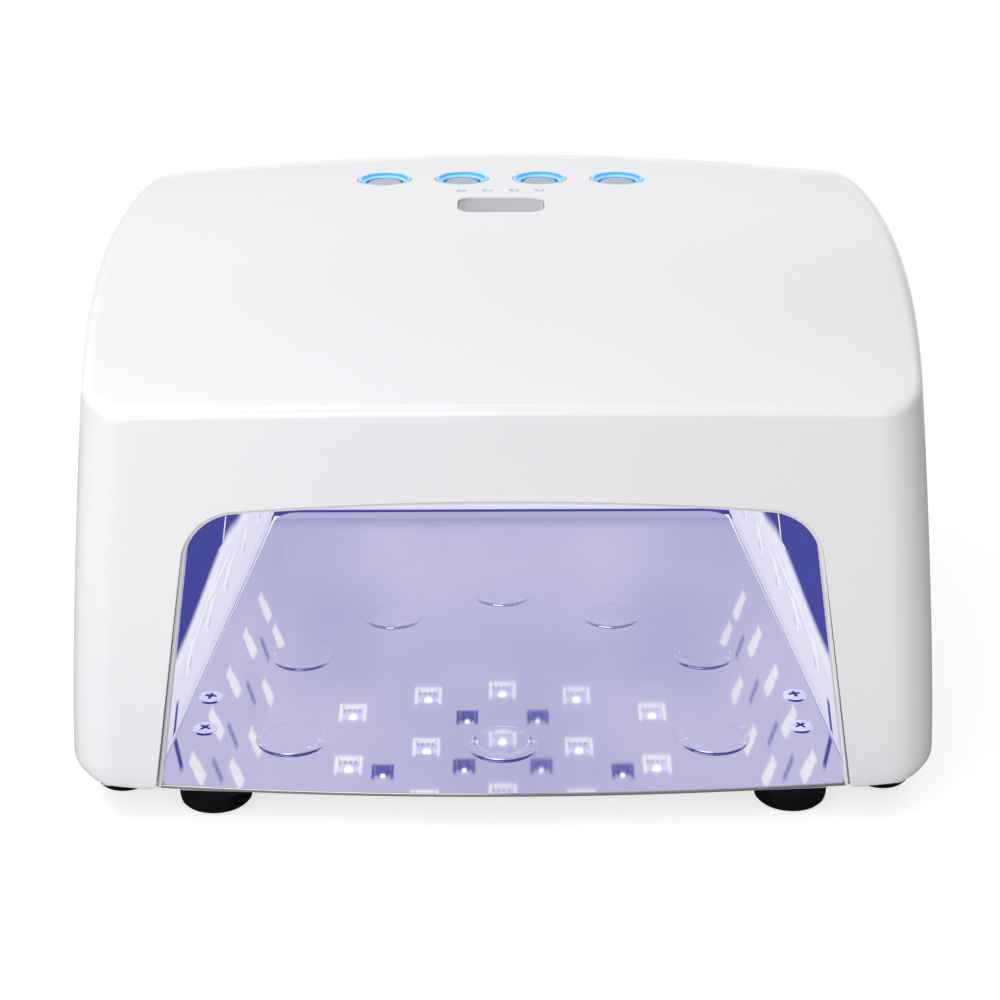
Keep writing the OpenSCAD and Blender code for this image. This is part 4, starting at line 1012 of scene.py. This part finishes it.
def screw_material():
    """Pale steel with the chamber's light painted on as a glow, and painted deep blue shade in the
    cross and along the front of the rim.
    """
    g = Graph("tray_screw_steel", Metallic=0.5, Roughness=0.3)
    (back_x, back_y, _), (front_x, front_y, _) = TRAY_SCREWS
    x, y = g.math("ABSOLUTE", g.axis("x")), g.axis("y")
    at_back = g.math("GREATER_THAN", y, (front_y + back_y) / 2)
    across = g.math("SUBTRACT", x, g.math("MULTIPLY_ADD", at_back, back_x - front_x, front_x))
    r = g.length(across, g.math("MINIMUM", g.apart(y, back_y), g.apart(y, front_y)))
    # depth under the domed head
    depth = g.math("SUBTRACT", g.axis("z"), TRAY_Z + SCREW_H)
    depth = g.math("MULTIPLY_ADD", g.math("MULTIPLY", r, r), 0.0222, depth)
    # painted deep blue shade in the cross recess and on the rim's front
    cross = g.product(g.fade(depth, -0.4, -0.1), g.fade(r, 2.0, 2.4))
    crescent = g.smooth(g.math("MULTIPLY", g.normal("y"), -1.0), 0.6, 0.9)
    tone = g.mix(g.soft(400.0), (0.58, 0.57, 0.72), (0.68, 0.67, 0.80))
    tone = g.mix(g.most(cross, crescent), tone, (0.02, 0.015, 0.20))
    g.color(tone)
    g.emit(tone, 0.45)
    return g.mat


rubber_mat = moulded("black_rubber", (0.001, 0.001, 0.001), (0.003, 0.003, 0.003), 0.6, 2200,
                     0.00005, IOR=1.2)
steel_mat = moulded("zinc_plated_steel", (0.50, 0.50, 0.60), (0.66, 0.66, 0.76), 0.22, 3000,
                    Metallic=1.0)
sink_mat = moulded("extruded_aluminium", (0.62, 0.63, 0.65), (0.74, 0.75, 0.77), 0.35, 2600,
                   Metallic=1.0)
trim_mat = moulded("warm_grey_trim", (0.74, 0.73, 0.71), (0.80, 0.79, 0.77), 0.30, 1500,
                   Coat_Weight=0.2)
board_mat = moulded("green_circuit_board", (0.02, 0.10, 0.05), (0.04, 0.16, 0.08), 0.4, 2600)
black_mat = moulded("black_plastic", (0.012, 0.012, 0.013), (0.025, 0.025, 0.027), 0.4, 1800)
base_mat = base_material()
wall_mat = side_material()
side_lamp_mat = side_lamp_material()

node_materials = {
    "opening_trim": trim_mat, "heat_sink": sink_mat,
    "base_frame": base_mat, "tray_base": base_mat, "dock_magnets": base_mat, "tray_keepers": base_mat,
    "ceiling_frame": moulded("off_white_plastic", *OFF_WHITE, 0.45, 1300),
    "housing_screws": steel_mat, "frame_screws": steel_mat, "panel_screws": steel_mat,
    "socket_pin": steel_mat,
    "left_reflector": wall_mat, "right_reflector": wall_mat,
    "ceiling_reflector": ceiling_material(), "back_reflector": back_material(),
    # the lamp board's lavender tone and glow are painted light of its lamps
    "ceiling_board": glowing("white_lamp_board", (0.50, 0.48, 0.74), (0.56, 0.54, 0.80), 0.85),
    "left_board": side_lamp_mat, "right_board": side_lamp_mat,
    "left_lamps": side_lamp_mat, "right_lamps": side_lamp_mat, "ceiling_lamps": lamp_material(),
    "bright_cups": cup_material("lit_cup", True), "dim_cups": cup_material("dim_cup", False),
    "battery_holder": black_mat, "tact_switches": black_mat, "power_socket": black_mat,
    "battery_cells": moulded("blue_cell_sleeve", (0.03, 0.10, 0.28), (0.05, 0.16, 0.38), 0.35, 1500),
    "control_board": board_mat, "charge_board": board_mat,
    "panel_lights": glowing("panel_light", (0.20, 0.50, 0.95), (0.35, 0.65, 1.0), 1.5),
    "display_module": moulded("display_module", (0.05, 0.05, 0.06), (0.09, 0.09, 0.10), 0.25, 1800),
}
for node, material in node_materials.items():
    NODES[node].data.materials.clear()
    NODES[node].data.materials.append(material)


# ---- housing shell ----

# lays a shape drawn along z on its side: z becomes y, and -y becomes z
LAID = Matrix(((1, 0, 0), (0, 0, 1), (0, -1, 0)))


def plug(r, low, high, n):
    """A round cutter."""
    return lathe([(0, low), (r, low), (r, high), (0, high)], n)


shell = new_piece("moulded_shell", *housing_shell(), housing_material(), "housing", "housing")
cuts = Mesh()
arch = [(x, -z) for x, z in arch_points()]
cuts.add(stacked([(arch, 0), (arch, 8.0)]), (0, -1.0, 0), LAID)
bore = Mesh().add(plug(RING_D / 2 + 0.15, -6, 6, 96))
cuts.take(repeated(bore, ROW, **row_sizes(BUTTONS, BUTTON_PITCH)))
bore = Mesh().add(plug(MARK_R + 0.04, -6, 6, 40))
cuts.take(repeated(bore, ROW, **row_sizes(MARKS, MARK_PITCH)))
hole = rounded_rect(DISPLAY_W - 0.2, DISPLAY_L - 0.2, DISPLAY_R + 0.1)
cuts.add(stacked([(hole, 138.0), (hole, 150.0)]), (0, DISPLAY_Y, 0))
cuts.add(plug(SOCKET_R, 0, 20, 64), (SOCKET_X, BODY_D - 12, SOCKET_Z), LAID)
slot = arc(0, SLOT_HALF, SLOT_R, 0, 180, 8) + arc(0, -SLOT_HALF, SLOT_R, 180, 360, 8)
slot = Mesh().add(stacked([(slot, 0), (slot, 20)]), turn=LAID)
cuts.take(repeated(slot, ROW, Count=SLOT_PLACES, Pitch=SLOT_PITCH / 1000, Left_Out=SLOTS_LEFT_OUT,
                   Middle=mm((0, BODY_D - 16, SLOT_Z))))
cut_away(shell, cuts)
shell.data.polygons.foreach_set("use_smooth", [True] * len(shell.data.polygons))
shell.data.set_sharp_from_angle(angle=radians(28))
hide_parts("upper_shell")


# ---- tray ----

# the raised rest's section: how far inside its radius, and the height over the plate
REST_PROFILE = ((0, -0.1), (0, 0.02), (0.12, 0.3), (0.4, 0.62), (0.85, 0.84), (1.4, 0.9), (1.9, 0.86),
                (2.4, 0.74), (3.0, 0.66), (3.5, 0.65), (3.8, 0.65), (5.0, 0.65))
REST_DISH = 0.65


def floor_x(y):
    """Half the chamber's width at the floor."""
    return FLOOR_W / 2 - tan(radians(TAPER)) * y


def plate_points(inward):
    """The mirror plate's outline: a bowed front edge and rounded corners."""
    front = []
    for x in (EDGE_END * k / 20 for k in range(-20, 21)):
        front.append((x, EDGE_BOW * (x / EDGE_HALF) ** 2 - EDGE_AHEAD + inward))
    front_cx = floor_x(7) - SIDE_GAP - PLATE_FRONT_R
    back_cx = floor_x(PLATE_BACK) - SIDE_GAP - PLATE_BACK_R
    right = arc(front_cx, PLATE_FRONT_Y, PLATE_FRONT_R - inward, -80, TAPER, 8)
    right += arc(back_cx, PLATE_BACK - PLATE_BACK_R, PLATE_BACK_R - inward, TAPER, 90, 12)
    return front + right + [(-x, y) for x, y in right[::-1]]


def cross_screw(r, h):
    """A domed pan head with a cross recess, as a heightfield over rings."""
    n = 72
    radii = [0.0, 0.12, 0.22, 0.32, 0.42, 0.5, 0.6, 0.72, 0.82, 0.9, 0.96, 1.0]
    turns = [2 * pi * i / n for i in range(n)]
    verts = []
    for s in radii:
        z = h * (1 - 0.32 * s * s) if s < 0.9 else h * (0.74 - (s - 0.9) * 3.2)
        for a in turns:
            x, y = r * s * cos(a), r * s * sin(a)
            arm = min(abs(x), abs(y))
            reach = max(abs(x), abs(y)) / r
            recess = 0.6 * min(max((0.60 - reach) / 0.18, 0), 1) * min(max((0.58 - arm) / 0.2, 0), 1)
            verts.append((x, y, z - recess))
    verts += [(r * cos(a), r * sin(a), 0.0) for a in turns]
    return verts, [[low + i, low + n + i, low + n + (i + 1) % n, low + (i + 1) % n]
                   for low in range(0, len(radii) * n, n) for i in range(n)]


plate = Mesh()
bottom = plate_points(0.0)
plate.add(stacked([(bottom, TRAY_Z - PLATE_T), (bottom, TRAY_Z - PLATE_SOFT),
                   (plate_points(0.09), TRAY_Z - 0.09), (plate_points(PLATE_SOFT), TRAY_Z)]))
for x, y, d in RESTS:
    profile = [(d / 2 - inside, z) for inside, z in REST_PROFILE] + [(0, REST_DISH)]
    rest = Mesh().add(lathe(profile, 96))
    plate.take(repeated(rest, ROW, Count=2 if x else 1, Pitch=2 * x / 1000, Middle=mm((0, y, TRAY_Z))))
tray = plate.piece("mirror_tray_plate", tray_material(), "tray", "mirror", 24.0)
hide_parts("tray_plate")

screw = Mesh().add(cross_screw(SCREW_R, SCREW_H)).add(lathe([(0, -3.7), (1.35, -3.7), (1.35, 0.1)], 32))
(x, y, turn), (front_x, front_y, front_turn) = TRAY_SCREWS
screws = repeated(screw, PAIRS, screw_material(), First_Place=mm((x, y, TRAY_Z)),
                  Second_Place=mm((front_x, front_y, TRAY_Z)), First_Turn=radians(turn),
                  Second_Turn=radians(front_turn))
screws = finished("cross_head_screws", screws, "tray", "steel", 35.0)
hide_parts("tray_screws")


# ---- feet ----

def foot_group(name, body, places, d, h, stem):
    """Rubber feet of a diameter and height at places on both sides, each with a stem into its seat."""
    r = d / 2
    shape = lathe([(0, 0), (r - 2.4, 0), (r - 1.0, 0.35), (r - 0.3, 1.1), (r, 2.4), (r, h), (3, h),
                   (3, h + stem), (0, h + stem)], 72)
    first, second = (mm((x, y, 0)) for x, y in places)
    group = repeated(Mesh().add(shape), PAIRS, rubber_mat, First_Place=first, Second_Place=second)
    return finished(name, group, body, "rubber", 35.0)


places = ((108, 24), (100, BODY_D - 38))
feet = foot_group("housing_rubber_feet", "housing", places, 16.0, 7.0, 2.0)
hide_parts("housing_feet")
places = ((floor_x(0) - 16.8, 13.7), (floor_x(CHAMBER_D) - 12, CHAMBER_D - 22))
feet = foot_group("tray_rubber_feet", "tray", places, 20.4, 5.5, 1.7)
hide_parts("tray_feet")


# ---- panel: rings, buttons, window and indicator marks ----

r, bore = RING_D / 2, CAP_D / 2 + 0.3
ring_points = [
    (bore, -CAP_SINK - 0.5), (bore + 0.35, -CAP_SINK - 0.25), (r - 1.3, 0.02), (r - 0.7, 0.28),
    (r - 0.1, 0.06), (r - 0.1, -3.5), (r + 1.2, -3.5), (r + 1.2, -4.5), (r - 0.6, -4.5),
    (r - 0.6, -9.5), (bore + 0.9, -9.5), (bore + 0.9, -5), (bore, -5)]
ring_shape = lathe(rounded_profile(ring_points, 0.28, closed=True), 96, closed=True)
rings = repeated(Mesh().add(ring_shape), ROW, ring_material(), **row_sizes(BUTTONS, BUTTON_PITCH))
rings = finished("lit_button_rings", rings, "housing", "blue_light", 40.0)
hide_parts("button_rings")

r = CAP_D / 2
cap_points = [
    (0, -CAP_SINK + 0.25), (r * 0.55, -CAP_SINK + 0.12), (r - 0.9, -CAP_SINK - 0.02),
    (r - 0.35, -CAP_SINK - 0.16), (r, -CAP_SINK - 0.65), (r, -5.3), (r + 0.9, -5.3), (r + 0.9, -6.1),
    (1.8, -6.1), (1.8, -8.2), (0, -8.2)]
cap_shape = lathe(rounded_profile(cap_points, 0.2, 3), 80)
cap_mat = cap_material()
for i, button in enumerate(BUTTONS, 1):
    cap = Mesh().add(cap_shape, button)
    cap = cap.piece(f"button_cap_top_{i}", cap_mat, f"button_{i}", "cap", 40.0)
    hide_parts(f"button_cap_{i}")


def pane(smaller, sink):
    """The window's outline, smaller all round, at a depth under its top."""
    sides = DISPLAY_W - 0.3 - 2 * smaller, DISPLAY_L - 0.3 - 2 * smaller
    return rounded_rect(*sides, DISPLAY_R - smaller), pane_z - sink


pane_z = on_top(DISPLAY_W / 2, DISPLAY_Y - DISPLAY_L / 2)[2] - 0.3
flange_z = pane_z - WALL
flange = rounded_rect(DISPLAY_W + 4, DISPLAY_L + 4, 4)
window = Mesh()
rings_of_pane = [pane(0.0, 2.5), pane(0.0, 0.35), pane(0.1, 0.12), pane(0.35, 0.02), pane(0.7, 0.0)]
window.add(stacked(rings_of_pane), (0, DISPLAY_Y, 0))
window.add(stacked([(flange, flange_z - 1), (flange, flange_z)]), (0, DISPLAY_Y, 0))
window = window.piece("smoked_display_window", window_material(), "housing", "window", 30.0)
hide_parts("display_window")

marks = Mesh()
lens_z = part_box("indicator_lenses")[0].z * 1000
for x, y, top in MARKS[2:]:
    mark = Mesh().add(lathe([(0, top - 0.02), (MARK_R - 0.6, top - 0.02), (MARK_R - 0.15, top - 0.1),
                             (MARK_R, top - 0.3), (MARK_R, lens_z), (0, lens_z)], 40))
    marks.take(repeated(mark, ROW, Count=2, Pitch=2 * x / 1000, Middle=mm((0, y, 0))))
marks = marks.piece("indicator_marks", mark_material(), "housing", "blue_light", 35.0)
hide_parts("indicator_lenses")


# ---- floor of the studio ----

FLOOR_HALF, FLOOR_DROP, FLOOR_LIGHT = 3.0, 0.0002, 0.72

floor_data = bpy.data.meshes.new("studio_floor")
corners = [(sx * FLOOR_HALF, sy * FLOOR_HALF, 0) for sx, sy in ((-1, -1), (1, -1), (1, 1), (-1, 1))]
floor_data.from_pydata(corners, [], [(0, 1, 2, 3)])
g = Graph("studio_floor", Roughness=0.6)
g.color(g.mix(g.soft(2.0), (0.40, 0.40, 0.405), (0.42, 0.42, 0.425)))
path = g.nodes.new("ShaderNodeLightPath").outputs
behind = g.product(path["Is Glossy Ray"], g.smooth(g.axis("y"), 250.0, 450.0))
seen = g.most(path["Is Camera Ray"], path["Is Transmission Ray"], behind)
g.emit(g.mix(g.soft(3.0), (0.98, 0.98, 0.98), (1.0, 1.0, 1.0)), g.product(seen, FLOOR_LIGHT))
floor_data.materials.append(g.mat)
studio_floor = placed("studio_floor", floor_data)
studio_floor.location.z = -FLOOR_DROP

bpy.context.view_layer.update()
